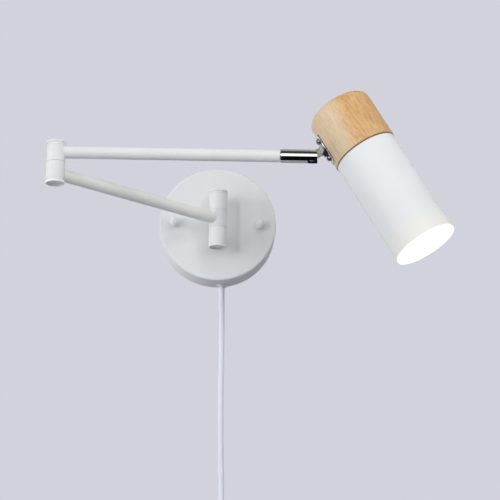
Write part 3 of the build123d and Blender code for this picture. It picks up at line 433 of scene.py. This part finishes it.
def maths(tree, operation, first, second=0.0):
    """A sum of two values or numbers."""
    node = add_node(tree, "ShaderNodeMath", {"operation": operation})
    for socket, source in zip(node.inputs, (first, second)):
        if isinstance(source, bpy.types.NodeSocket):
            tree.links.new(source, socket)
        else:
            socket.default_value = source
    return node.outputs[0]


def faded(tree, value, start, end):
    """A soft step from 0 at start to 1 at end."""
    limits = {"interpolation_type": "SMOOTHSTEP", "From Min": start, "From Max": end}
    step = add_node(tree, "ShaderNodeMapRange", limits, Value=value)
    return step.outputs[0]


def overlaid(material, mask, **finishes):
    """Lay other finishes over a material where a mask says so."""
    tree = material.node_tree
    shader = tree.nodes["Principled BSDF"]
    for name, finish in finishes.items():
        socket = shader.inputs[name.replace("_", " ")]
        tree.links.new(mixed(tree, mask, socket.links[0].from_socket, finish), socket)


def polished_chrome(name):
    """Bright chrome plate with a trace of unevenness in its polish."""
    return finish_coat(
        name, (0.78, 0.79, 0.80), (0.82, 0.83, 0.84), gloss=0.04, dull=0.10,
        peel_scale=900.0, peel_depth=0.000001, mottle_scale=160.0, metal=1.0,
    )


# Near black colour that stands in for shade: in the sleeve's slot, where the tongue meets the plate, and
# along the plate's edges.
PAINTED_SHADE_DARK = (0.03, 0.03, 0.032, 1)
DULL = (0.5, 0.5, 0.5, 1)
SLOT_HALF_WIDTH = 3.6
SLOT_CUTTER_RADIUS = 8.0
SLOT_CUTTER_OUT = 1.4
SLOT_SKIN = 0.06
sleeve_chrome = polished_chrome("sleeve_chrome")
sleeve_tree = sleeve_chrome.node_tree
in_sleeve = own_axes(sleeve_tree, hinge_point, sleeve_turn)
from_cutter = maths(sleeve_tree, "SUBTRACT", in_sleeve["X"], SLOT_CUTTER_OUT)
cutter_square = maths(
    sleeve_tree, "ADD",
    maths(sleeve_tree, "MULTIPLY", from_cutter, from_cutter),
    maths(sleeve_tree, "MULTIPLY", in_sleeve["Z"], in_sleeve["Z"]),
)
from_slot_middle = maths(sleeve_tree, "ABSOLUTE", in_sleeve["Y"])
shaded_slot = maths(
    sleeve_tree, "MULTIPLY",
    maths(sleeve_tree, "LESS_THAN", cutter_square, (SLOT_CUTTER_RADIUS + SLOT_SKIN) ** 2),
    maths(sleeve_tree, "LESS_THAN", from_slot_middle, SLOT_HALF_WIDTH + SLOT_SKIN),
)
# Painted shade: the slot's walls are coloured near black where shade falls inside the slot.
overlaid(sleeve_chrome, shaded_slot, Base_Color=PAINTED_SHADE_DARK, Roughness=DULL)
dress(sleeve_chrome, "chrome_sleeve")

SLEEVE_RADIUS = 6.65
PIN_RADIUS = 1.6
PIN_SINK = 0.03
PIN_PROFILE = [
    (0, 1), (PIN_RADIUS / 2, 1), (PIN_RADIUS, 1), (PIN_RADIUS, -1), (PIN_RADIUS / 2, -1), (0, -1),
]
sleeve_frame = Matrix.Translation(hinge_point) @ sleeve_turn.to_4x4() @ Matrix.Scale(MM, 4)
ground_pin = bmesh.new()
lathe(ground_pin, PIN_PROFILE, steps=32)
for point in ground_pin.verts:
    point.co.z *= sqrt(SLEEVE_RADIUS**2 - point.co.y**2) - PIN_SINK
across_sleeve = sleeve_frame @ Matrix.Rotation(pi / 2, 4, "X")
bmesh.ops.transform(ground_pin, matrix=across_sleeve, verts=ground_pin.verts)
new_piece("ground_pin", ground_pin, polished_chrome("chrome_plate"), "swivel", "chrome", "hinge_pin")
dress(zinc_plate, "swivel_nipple", "swivel_lock_nut")


# The hinge tongue is welded to a plate pressed to the wood's round. Both are stamped and chromed: the
# tongue a little dull and painted dark as shade where it meets the plate, and the plate's edges painted
# dark as shade along the wood.
HEAD_TILT = radians(30.6)
head_out = cos(HEAD_TILT) * arm_line + sin(HEAD_TILT) * level_up
head_up = cos(HEAD_TILT) * level_up - sin(HEAD_TILT) * arm_line
head_turn = Matrix((head_out, tilt_line, head_up)).transposed()
hinge_frame = Matrix.Translation(hinge_point) @ head_turn.to_4x4() @ Matrix.Scale(MM, 4)
PLATE_HALF_WIDTH = 5.5
PLATE_EDGE_SKIN = 0.3
PLATE_EDGE_SHADE = 0.7
WOOD_RADIUS = 32.15
HEAD_AXIS_OUT = 47.65
JUNCTION_SHADE_START = 11.5
JUNCTION_SHADE_END = 15.0
JUNCTION_SHADE_SLANT = 0.7
dull_chrome = finish_coat(
    "dull_chrome", (0.50, 0.51, 0.50), (0.70, 0.71, 0.70), gloss=0.26, dull=0.40,
    peel_scale=900.0, peel_depth=0.00001, mottle_scale=420.0, metal=1.0,
)
tongue_tree = dull_chrome.node_tree
in_tongue = own_axes(tongue_tree, hinge_point, head_turn)
# Painted shade: the tongue darkens towards where it meets the plate.
junction_lean = maths(tongue_tree, "MULTIPLY", in_tongue["Z"], JUNCTION_SHADE_SLANT)
towards_junction = maths(tongue_tree, "SUBTRACT", in_tongue["X"], junction_lean)
painted_junction_shade = faded(tongue_tree, towards_junction, JUNCTION_SHADE_START, JUNCTION_SHADE_END)
overlaid(dull_chrome, painted_junction_shade, Base_Color=PAINTED_SHADE_DARK, Roughness=DULL)
dress(dull_chrome, "hinge_tongue")
pressed_chrome = finish_coat(
    "pressed_chrome", (0.78, 0.78, 0.76), (0.84, 0.84, 0.82), gloss=0.22, dull=0.34,
    peel_scale=900.0, peel_depth=0.00001, mottle_scale=260.0, metal=1.0,
)
plate_tree = pressed_chrome.node_tree
axis_frame = hinge_frame @ Matrix.Translation((HEAD_AXIS_OUT, 0, 0))
in_plate = own_axes(plate_tree, axis_frame.translation, head_turn)
plate_out = maths(
    plate_tree, "ADD",
    maths(plate_tree, "MULTIPLY", in_plate["X"], in_plate["X"]),
    maths(plate_tree, "MULTIPLY", in_plate["Y"], in_plate["Y"]),
)
plate_side = maths(plate_tree, "ABSOLUTE", in_plate["Y"])
# Painted shade: a dark line along the plate's edges where they meet the wood.
painted_edge_shade = maths(
    plate_tree, "MULTIPLY",
    maths(plate_tree, "GREATER_THAN", plate_side, PLATE_HALF_WIDTH - PLATE_EDGE_SKIN),
    maths(plate_tree, "LESS_THAN", plate_out, (WOOD_RADIUS + PLATE_EDGE_SHADE) ** 2),
)
overlaid(pressed_chrome, painted_edge_shade, Base_Color=PAINTED_SHADE_DARK, Roughness=DULL)
dress(pressed_chrome, "saddle_plate")


# Two round head screws with cross recesses hold the plate to the wood. They are cold formed steel in
# black nickel, so the head is a dark low dome with a soft lower edge and a small bright glint.
black_nickel = finish_coat(
    "black_nickel", (0.30, 0.30, 0.305), (0.38, 0.38, 0.385), gloss=0.12, dull=0.22,
    peel_scale=900.0, peel_depth=0.000003, mottle_scale=300.0, metal=1.0,
)
PLATE_FACE = 14.3
SCREW_HEIGHT = 10.0
SCREW_SHANK_RADIUS = 1.45
SCREW_LENGTH = 8.2
SCREW_DOME = [(0, 2.6), (1.2, 2.47), (2.2, 2.0), (2.85, 1.2), (3.1, 0.4), (3.0, 0.0)]
SCREW_SHANK = [(SCREW_SHANK_RADIUS, 0.0), (SCREW_SHANK_RADIUS, -SCREW_LENGTH), (0, -SCREW_LENGTH)]
RECESS_HALF_WIDTH = 0.4
RECESS_REACH = 1.7
RECESS_DEPTH = 1.1
RECESS_ABOVE = 1.5
FACING_OUT = 0.3


def cross_head_screw(height):
    """One screw in the plate: a domed head with its cross recess, and a plain shank."""
    form = bmesh.new()
    lathe(form, SCREW_DOME + SCREW_SHANK, steps=40)
    for direction in (Vector((1, 0, 0)), Vector((0, 1, 0))):
        for place in (-RECESS_REACH, -RECESS_HALF_WIDTH, RECESS_HALF_WIDTH, RECESS_REACH):
            geometry = form.verts[:] + form.edges[:] + form.faces[:]
            bmesh.ops.bisect_plane(form, geom=geometry, plane_co=direction * place, plane_no=direction)
    recess = []
    for face in form.faces:
        across, along, up = (abs(value) for value in face.calc_center_median())
        short, long = sorted((across, along))
        on_dome = face.normal.z > FACING_OUT and up > RECESS_ABOVE
        if on_dome and short < RECESS_HALF_WIDTH and long < RECESS_REACH:
            recess.append(face)
    pushed = bmesh.ops.extrude_face_region(form, geom=recess)
    floor_points = [item for item in pushed["geom"] if isinstance(item, bmesh.types.BMVert)]
    bmesh.ops.translate(form, verts=floor_points, vec=(0, 0, -RECESS_DEPTH))
    bmesh.ops.delete(form, geom=recess, context="FACES")
    into_wood = Matrix.Translation((PLATE_FACE, 0, height)) @ Matrix.Rotation(-pi / 2, 4, "Y")
    bmesh.ops.transform(form, matrix=hinge_frame @ into_wood, verts=form.verts)
    return form


both_screws = bmesh.new()
for height in (-SCREW_HEIGHT, SCREW_HEIGHT):
    one_screw = cross_head_screw(height)
    screw_mesh = bpy.data.meshes.new("one_screw")
    one_screw.to_mesh(screw_mesh)
    one_screw.free()
    both_screws.from_mesh(screw_mesh)
    bpy.data.meshes.remove(screw_mesh)
new_piece("saddle_screws", both_screws, black_nickel, "head", "chrome", "plate_screws")


# The cap is turned from a glued block of pale straight grained wood, with a golden lath on one side,
# and finished in a clear satin lacquer. Its spigot plugs the shade, with a thin open seam between.
WOOD_TOP = 33.0
WOOD_RIM = -21.4
WOOD_EDGE = 8.5
WOOD_RIM_EASE = 0.5
WOOD_SPIGOT_RADIUS = 29.85
WOOD_SPIGOT_LENGTH = 9.0
WOOD_BORE_RADIUS = 23.0
WOOD_BORE_TOP = 14.0


def grain_noise(tree, place, across, along, detail, rough=0.6, warp=0.0):
    """Noise drawn out along the head's axis: its fineness per millimetre across and along the grain."""
    drawn = add_node(tree, "ShaderNodeMapping", {"Scale": (across, across, along)}, Vector=place)
    values = {"Scale": 1.0, "Detail": detail, "Roughness": rough, "Distortion": warp}
    noise = add_node(tree, "ShaderNodeTexNoise", values, Vector=drawn.outputs["Vector"])
    return noise.outputs["Fac"]


lacquered_wood, wood_tree, wood_shader = new_material("lacquered_wood")
wood_place = own_place(wood_tree, axis_frame.translation, head_turn)
streaks = grain_noise(wood_tree, wood_place, across=1.1, along=0.045, detail=5.0, rough=0.66, warp=0.3)
fibres = grain_noise(wood_tree, wood_place, across=1.7, along=0.11, detail=3.0)
pores = grain_noise(wood_tree, wood_place, across=7.0, along=0.5, detail=2.0)
figure = grain_noise(wood_tree, wood_place, across=0.10, along=0.012, detail=3.0)
clouds = grain_noise(wood_tree, wood_place, across=0.30, along=0.13, detail=3.0)
pale_lath = ramp(
    wood_tree, streaks,
    (0.30, (0.62, 0.45, 0.285)), (0.45, (0.75, 0.575, 0.38)),
    (0.62, (0.80, 0.63, 0.435)), (0.80, (0.765, 0.59, 0.395)),
)
golden_lath = ramp(
    wood_tree, streaks,
    (0.30, (0.57, 0.31, 0.118)), (0.45, (0.705, 0.43, 0.193)),
    (0.62, (0.77, 0.50, 0.245)), (0.80, (0.725, 0.455, 0.216)),
)
LATH_LEAN = 0.09
LATH_WANDER = 9.0
NOISE_MIDDLE = 0.5
in_wood = add_node(wood_tree, "ShaderNodeSeparateXYZ", Vector=wood_place).outputs
below_top = maths(wood_tree, "SUBTRACT", WOOD_TOP, in_wood["Z"])
lean = maths(wood_tree, "MULTIPLY", below_top, LATH_LEAN)
wander = maths(wood_tree, "MULTIPLY", maths(wood_tree, "SUBTRACT", figure, NOISE_MIDDLE), LATH_WANDER)
across_head = maths(wood_tree, "ADD", maths(wood_tree, "ADD", in_wood["X"], wander), lean)
GOLDEN_FROM, GOLDEN_FULL = -16.0, -2.0
GLUE_LINE = 2.0
GLUE_SHARPNESS = 0.4
golden_side = faded(wood_tree, across_head, GOLDEN_FROM, GOLDEN_FULL)
joined = mixed(wood_tree, golden_side, pale_lath, golden_lath)
cloud_tint = ramp(
    wood_tree, clouds, (0.34, (1.06, 1.08, 1.10)), (0.48, (1.0, 1.0, 1.0)), (0.66, (0.90, 0.81, 0.70))
)
laths = mixed(wood_tree, golden_side, joined, mixed(wood_tree, 1.0, joined, cloud_tint, "MULTIPLY"))
from_glue = maths(wood_tree, "ABSOLUTE", maths(wood_tree, "SUBTRACT", across_head, GLUE_LINE))
glue_fade = maths(wood_tree, "MULTIPLY", from_glue, GLUE_SHARPNESS)
glue_tint = ramp(wood_tree, glue_fade, (0.10, (0.93, 0.88, 0.81)), (0.70, (1.0, 1.0, 1.0)))
glued = mixed(wood_tree, 1.0, laths, glue_tint, "MULTIPLY")
fibre_tint = ramp(wood_tree, fibres, (0.30, (0.84, 0.80, 0.76)), (0.5, (1.0, 1.0, 1.0)))
pore_tint = ramp(wood_tree, pores, (0.60, (1.0, 1.0, 1.0)), (0.74, (0.72, 0.62, 0.52)))
fibred = mixed(wood_tree, 1.0, glued, fibre_tint, "MULTIPLY")
pored = mixed(wood_tree, 1.0, fibred, pore_tint, "MULTIPLY")
# Painted shade: the spigot below the rim is coloured dark brown, so the seam between wood and shade reads
# as shade.
SEAM_SHADE = (0.10, 0.06, 0.035, 1)
SEAM_SHADE_EDGE = 0.2
spigot = faded(wood_tree, in_wood["Z"], WOOD_RIM, WOOD_RIM - SEAM_SHADE_EDGE)
wood_colour = mixed(wood_tree, spigot, pored, SEAM_SHADE)
wood_tree.links.new(wood_colour, wood_shader.inputs["Base Color"])
wood_rough = ramp(wood_tree, fibres, (0.3, 0.52), (0.7, 0.40))
wood_tree.links.new(wood_rough, wood_shader.inputs["Roughness"])
PORE_RELIEF = 0.6
GRAIN_DEPTH = 0.00005
wood_relief = maths(wood_tree, "SUBTRACT", fibres, maths(wood_tree, "MULTIPLY", pores, PORE_RELIEF))
wood_bump = add_node(wood_tree, "ShaderNodeBump", {"Distance": GRAIN_DEPTH}, Height=wood_relief)
wood_tree.links.new(wood_bump.outputs["Normal"], wood_shader.inputs["Normal"])

wood_form = bmesh.new()
wood_profile = [
    (0, WOOD_TOP), (WOOD_RADIUS, WOOD_TOP), (WOOD_RADIUS, WOOD_RIM),
    (WOOD_SPIGOT_RADIUS, WOOD_RIM), (WOOD_SPIGOT_RADIUS, WOOD_RIM - WOOD_SPIGOT_LENGTH),
    (WOOD_BORE_RADIUS, WOOD_RIM - WOOD_SPIGOT_LENGTH), (WOOD_BORE_RADIUS, WOOD_BORE_TOP),
    (0, WOOD_BORE_TOP),
]
lathe(wood_form, wood_profile, steps=144)
round_rim(wood_form, WOOD_RADIUS, WOOD_TOP, WOOD_EDGE, segments=12)
round_rim(wood_form, WOOD_RADIUS, WOOD_RIM, WOOD_RIM_EASE, segments=3)
bmesh.ops.transform(wood_form, matrix=axis_frame, verts=wood_form.verts)
new_piece("turned_wood_cap", wood_form, lacquered_wood, "head", "wood", "wood_cap")


# The shade is a plain rolled and seam welded steel tube, coated white inside and out, with its mouth
# eased round. It is pushed over the wood's spigot and glued. The bulb's glow is painted into the coat as a
# warmer, paler tone towards the mouth, and the rim glows with painted light.
SHADE_RADIUS = 31.1
SHADE_WALL = 1.2
SHADE_TOP = -22.5
SHADE_MOUTH = -133.1
SHADE_MOUTH_OUTSIDE = 0.25
SHADE_MOUTH_INSIDE = 0.9
GLOW_TINT_FROM = -98.0
GLOW_TINT_WHITE = (0.90, 0.90, 0.855, 1)
GLOW_FROM = -129.8
NO_GLOW = (0, 0, 0, 1)
GLOW_WHITE = (1.0, 0.98, 0.93, 1)
GLOW_STRENGTH = 0.8
shade_form = bmesh.new()
shade_profile = [
    (SHADE_RADIUS - SHADE_WALL, SHADE_TOP), (SHADE_RADIUS, SHADE_TOP), (SHADE_RADIUS, SHADE_MOUTH),
    (SHADE_RADIUS - SHADE_WALL, SHADE_MOUTH), (SHADE_RADIUS - SHADE_WALL, SHADE_TOP),
]
lathe(shade_form, shade_profile, steps=160)
round_rim(shade_form, SHADE_RADIUS, SHADE_MOUTH, SHADE_MOUTH_OUTSIDE, segments=3)
round_rim(shade_form, SHADE_RADIUS - SHADE_WALL, SHADE_MOUTH, SHADE_MOUTH_INSIDE, segments=5)
bmesh.ops.transform(shade_form, matrix=axis_frame, verts=shade_form.verts)
shade_coat = satin_coat("shade_coat", (0.80, 0.838, 0.86), (0.83, 0.863, 0.88))
shade_tree = shade_coat.node_tree
in_shade = own_axes(shade_tree, axis_frame.translation, head_turn)
# Painted light: a warmer, paler tone towards the mouth stands in for the bulb's glow.
painted_mouth_glow = faded(shade_tree, in_shade["Z"], GLOW_TINT_FROM, SHADE_MOUTH)
overlaid(shade_coat, painted_mouth_glow, Base_Color=GLOW_TINT_WHITE)
# Painted light: the coat near the rim emits, so the mouth's edge glows though it is no lamp.
near_mouth = faded(shade_tree, in_shade["Z"], GLOW_FROM, SHADE_MOUTH)
towards_rim = maths(shade_tree, "MULTIPLY", near_mouth, near_mouth)
painted_rim_glow = mixed(shade_tree, towards_rim, NO_GLOW, GLOW_WHITE)
shade_shader = shade_tree.nodes["Principled BSDF"]
shade_tree.links.new(painted_rim_glow, shade_shader.inputs["Emission Color"])
shade_shader.inputs["Emission Strength"].default_value = GLOW_STRENGTH
new_piece("steel_shade", shade_form, shade_coat, "head", "white_paint", "shade_tube")


# Inside the head: a glazed lamp holder with two screws into the wood, and a lit retrofit bulb with
# a plated screw cap, a moulded body and a frosted globe.
white_glaze = finish_coat(
    "white_glaze", (0.84, 0.84, 0.81), (0.87, 0.87, 0.85), gloss=0.12, dull=0.2,
    peel_scale=600.0, peel_depth=0.00001,
)
dress(white_glaze, "lamp_holder")
dress(zinc_plate, "holder_screws", "bulb_cap")
dress(white_moulding, "bulb_body")
lit_glass, glass_tree, glass_shader = new_material("lit_frosted_glass")
glass_noise = add_node(glass_tree, "ShaderNodeGroup", {"node_tree": surface_noise})
glass_noise.inputs["Peel Scale"].default_value = 900.0
glass_noise.inputs["Mottle Scale"].default_value = 90.0
glow = ramp(glass_tree, glass_noise.outputs["Mottle"], (0.3, (1.0, 0.86, 0.67)), (0.7, (1.0, 0.90, 0.74)))
glass_tree.links.new(glow, glass_shader.inputs["Emission Color"])
frost = ramp(glass_tree, glass_noise.outputs["Peel"], (0.3, 0.5), (0.7, 0.65))
glass_tree.links.new(frost, glass_shader.inputs["Roughness"])
glass_shader.inputs["Base Color"].default_value = (0.95, 0.93, 0.88, 1)
glass_shader.inputs["Emission Strength"].default_value = 12.0
dress(lit_glass, "bulb_globe")


# Supply cord: a round two core cord in a smooth white jacket. It hangs along the wall, runs through
# its switch, and its spare length is wound into a flat coil of two layers above the plug.
CORD_DIAMETER = 6.0
HANGING_ROUTE = [
    (5.8, -7.5, -61.2),
    (7.0, -7.5, -116.0),
    (6.8, -7.9, -172.0),
    (8.0, -9.4, -230.0),
    (10.0, -12.0, -284.0),
    (10.0, -12.0, -312.0),
]
SWITCH_LENGTH = 64.0
DROP_LENGTH = 34.0
COIL_TURNS = 7
COIL_OUTER_RADIUS = 46.5
COIL_PITCH = 6.6
COIL_CLIMB_TURNS = 0.5
COIL_POINTS_PER_TURN = 16
TAIL_LENGTH = 50.0
switch_and_drop = SWITCH_LENGTH + DROP_LENGTH
drop_x, coil_y, coil_z = HANGING_ROUTE[-1]
coil_x = drop_x + COIL_OUTER_RADIUS
coil_z -= switch_and_drop + CORD_DIAMETER
cord_points = list(HANGING_ROUTE)
cord_points.append((drop_x, coil_y, coil_z + switch_and_drop / 2))
cord_points.append((drop_x, coil_y, coil_z + CORD_DIAMETER))
# A round of points draws its spline in by this share, so the points stand out by as much.
spline_draw_in = 0.75 + 0.25 * cos(2 * pi / COIL_POINTS_PER_TURN)
for step in range(COIL_TURNS * COIL_POINTS_PER_TURN + 1):
    turn = step / COIL_POINTS_PER_TURN
    to_middle = turn - COIL_TURNS / 2
    radius = COIL_OUTER_RADIUS - COIL_PITCH * (COIL_TURNS / 2 - abs(to_middle))
    climb = min(max(to_middle / COIL_CLIMB_TURNS + 1 / 2, 0), 1)
    layer = COIL_PITCH * (1 - cos(pi * climb)) / 2
    angle = pi + 2 * pi * turn
    reach = radius / spline_draw_in
    if turn in (0, COIL_TURNS):
        reach = radius
    cord_points.append((coil_x + reach * cos(angle), coil_y - layer, coil_z + reach * sin(angle)))
tail_x = coil_x - COIL_OUTER_RADIUS
tail_y = coil_y - COIL_PITCH
for down in (0, TAIL_LENGTH / 2, TAIL_LENGTH):
    cord_points.append((tail_x, tail_y, coil_z - CORD_DIAMETER - down))
cord_curve = bpy.data.curves.new("supply_cord", "CURVE")
cord_curve.dimensions = "3D"
cord_curve.bevel_depth = CORD_DIAMETER / 2 * MM
cord_curve.bevel_resolution = 6
cord_curve.resolution_u = 6
cord_line = cord_curve.splines.new("NURBS")
cord_line.points.add(len(cord_points) - 1)
for point, place in zip(cord_line.points, cord_points):
    point.co = (place[0] * MM, place[1] * MM, place[2] * MM, 1)
cord_line.order_u = 3
cord_line.use_endpoint_u = True
cord_line.use_smooth = True
supply_cord = bpy.data.objects.new("supply_cord", cord_curve)
bpy.context.scene.collection.objects.link(supply_cord)
cord_curve.materials.append(cord_jacket)
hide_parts("cord_hanging", "cord_drop", "cord_coil", "cord_tail")
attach(supply_cord, "wall_base")


# The switch on the cord: two moulded half shells with a rocker, and a grooved soft grip at each end.
# The plug is moulded on, with its own grip and two brass blades.
dress(white_moulding, "switch_base", "switch_cover", "switch_rocker", "plug_body")
soft_grip = finish_coat(
    "soft_grip", (0.77, 0.78, 0.81), (0.80, 0.81, 0.84), gloss=0.48, dull=0.58,
    peel_scale=1500.0, peel_depth=0.00001,
)
dress(soft_grip, "switch_reliefs")
dress(turned_brass, "plug_blades")


# The tie round the coil is a strip of woven hook and loop tape, wrapped once round the turns
# and closed on itself, with its end lying on the outside.
TIE_WIDTH = 12.0
TIE_THICKNESS = 1.3
TIE_EDGE = 0.4
TIE_HALF_SPAN = 14.6
TIE_HALF_DEPTH = 7.6
TIE_CORNER = 2.3
TIE_START = -6.0
TIE_END = 5.0
TIE_LAP = 1.5
TIE_FROM_COIL_AXIS = 32.9
RIB_PITCH = 0.9
PICK_PITCH = 1.1
WEAVE_DEPTH = 0.00015
WEAVE_LOW, WEAVE_HIGH = -0.5, 0.7
LOOP_GREY = (0.80, 0.80, 0.83, 1)
tie_tape = finish_coat(
    "tie_tape", (0.60, 0.60, 0.63), (0.70, 0.70, 0.73), gloss=0.8, dull=0.9,
    peel_scale=2600.0, peel_depth=0.0001,
)
tape_tree = tie_tape.node_tree
on_tape = own_axes(tape_tree, Vector(), Matrix.Identity(3))
along_tape = maths(tape_tree, "ADD", on_tape["X"], on_tape["Y"])
ribs = maths(tape_tree, "SINE", maths(tape_tree, "MULTIPLY", on_tape["Z"], 2 * pi / RIB_PITCH))
picks = maths(tape_tree, "SINE", maths(tape_tree, "MULTIPLY", along_tape, 2 * pi / PICK_PITCH))
weave = maths(tape_tree, "MULTIPLY", ribs, picks)
overlaid(tie_tape, faded(tape_tree, weave, WEAVE_LOW, WEAVE_HIGH), Base_Color=LOOP_GREY)
tape_shader = tape_tree.nodes["Principled BSDF"]
fuzz_normal = tape_shader.inputs["Normal"].links[0].from_socket
weave_bump = add_node(
    tape_tree, "ShaderNodeBump", {"Distance": WEAVE_DEPTH}, Height=weave, Normal=fuzz_normal
)
tape_tree.links.new(weave_bump.outputs["Normal"], tape_shader.inputs["Normal"])
tape_form = bmesh.new()


def lead_tape(edge, x, y):
    """Lead the tape straight on to a place and return its new end."""
    drawn = bmesh.ops.extrude_edge_only(tape_form, edges=[edge])["geom"]
    points = [item for item in drawn if isinstance(item, bmesh.types.BMVert)]
    for point in points:
        point.co.x = x
        point.co.y = y
    return tape_form.edges.get(points)


def turn_tape(edge, x, y):
    """Lead the tape a quarter turn round a place and return its new end."""
    turned = bmesh.ops.spin(
        tape_form, geom=[edge, *edge.verts], cent=(x, y, 0), axis=(0, 0, 1), angle=pi / 2, steps=6
    )
    return next(item for item in turned["geom_last"] if isinstance(item, bmesh.types.BMEdge))


corner_x = TIE_HALF_SPAN - TIE_CORNER
corner_y = TIE_HALF_DEPTH - TIE_CORNER
tape_sides = (-TIE_WIDTH / 2, TIE_WIDTH / 2)
tape_ends = [tape_form.verts.new((TIE_START, -TIE_HALF_DEPTH, side)) for side in tape_sides]
tape_end = tape_form.edges.new(tape_ends)
tape_end = turn_tape(lead_tape(tape_end, corner_x, -TIE_HALF_DEPTH), corner_x, -corner_y)
tape_end = turn_tape(lead_tape(tape_end, TIE_HALF_SPAN, corner_y), corner_x, corner_y)
tape_end = turn_tape(lead_tape(tape_end, -corner_x, TIE_HALF_DEPTH), -corner_x, corner_y)
tape_end = turn_tape(lead_tape(tape_end, -TIE_HALF_SPAN, -corner_y), -corner_x, -corner_y)
tape_end = lead_tape(tape_end, TIE_START - TIE_LAP, -TIE_HALF_DEPTH - TIE_LAP)
lead_tape(tape_end, TIE_END, -TIE_HALF_DEPTH - TIE_LAP)
bmesh.ops.remove_doubles(tape_form, verts=tape_form.verts, dist=TOUCHING)
bmesh.ops.recalc_face_normals(tape_form, faces=tape_form.faces)
tie_centre = Vector((coil_x + TIE_FROM_COIL_AXIS, coil_y - COIL_PITCH / 2, coil_z)) * MM
round_coil = Matrix.Translation(tie_centre) @ Matrix.Scale(MM, 4)
bmesh.ops.transform(tape_form, matrix=round_coil, verts=tape_form.verts)
tape_tie = new_piece("tape_tie", tape_form, tie_tape, "wall_base", "tie_fabric", "coil_tie")
tape_thickness = tape_tie.modifiers.new("thickness", "SOLIDIFY")
tape_thickness.thickness = TIE_THICKNESS * MM
tape_thickness.offset = 0.0
tape_edges = tape_tie.modifiers.new("edges", "BEVEL")
tape_edges.width = TIE_EDGE * MM
tape_edges.segments = 3
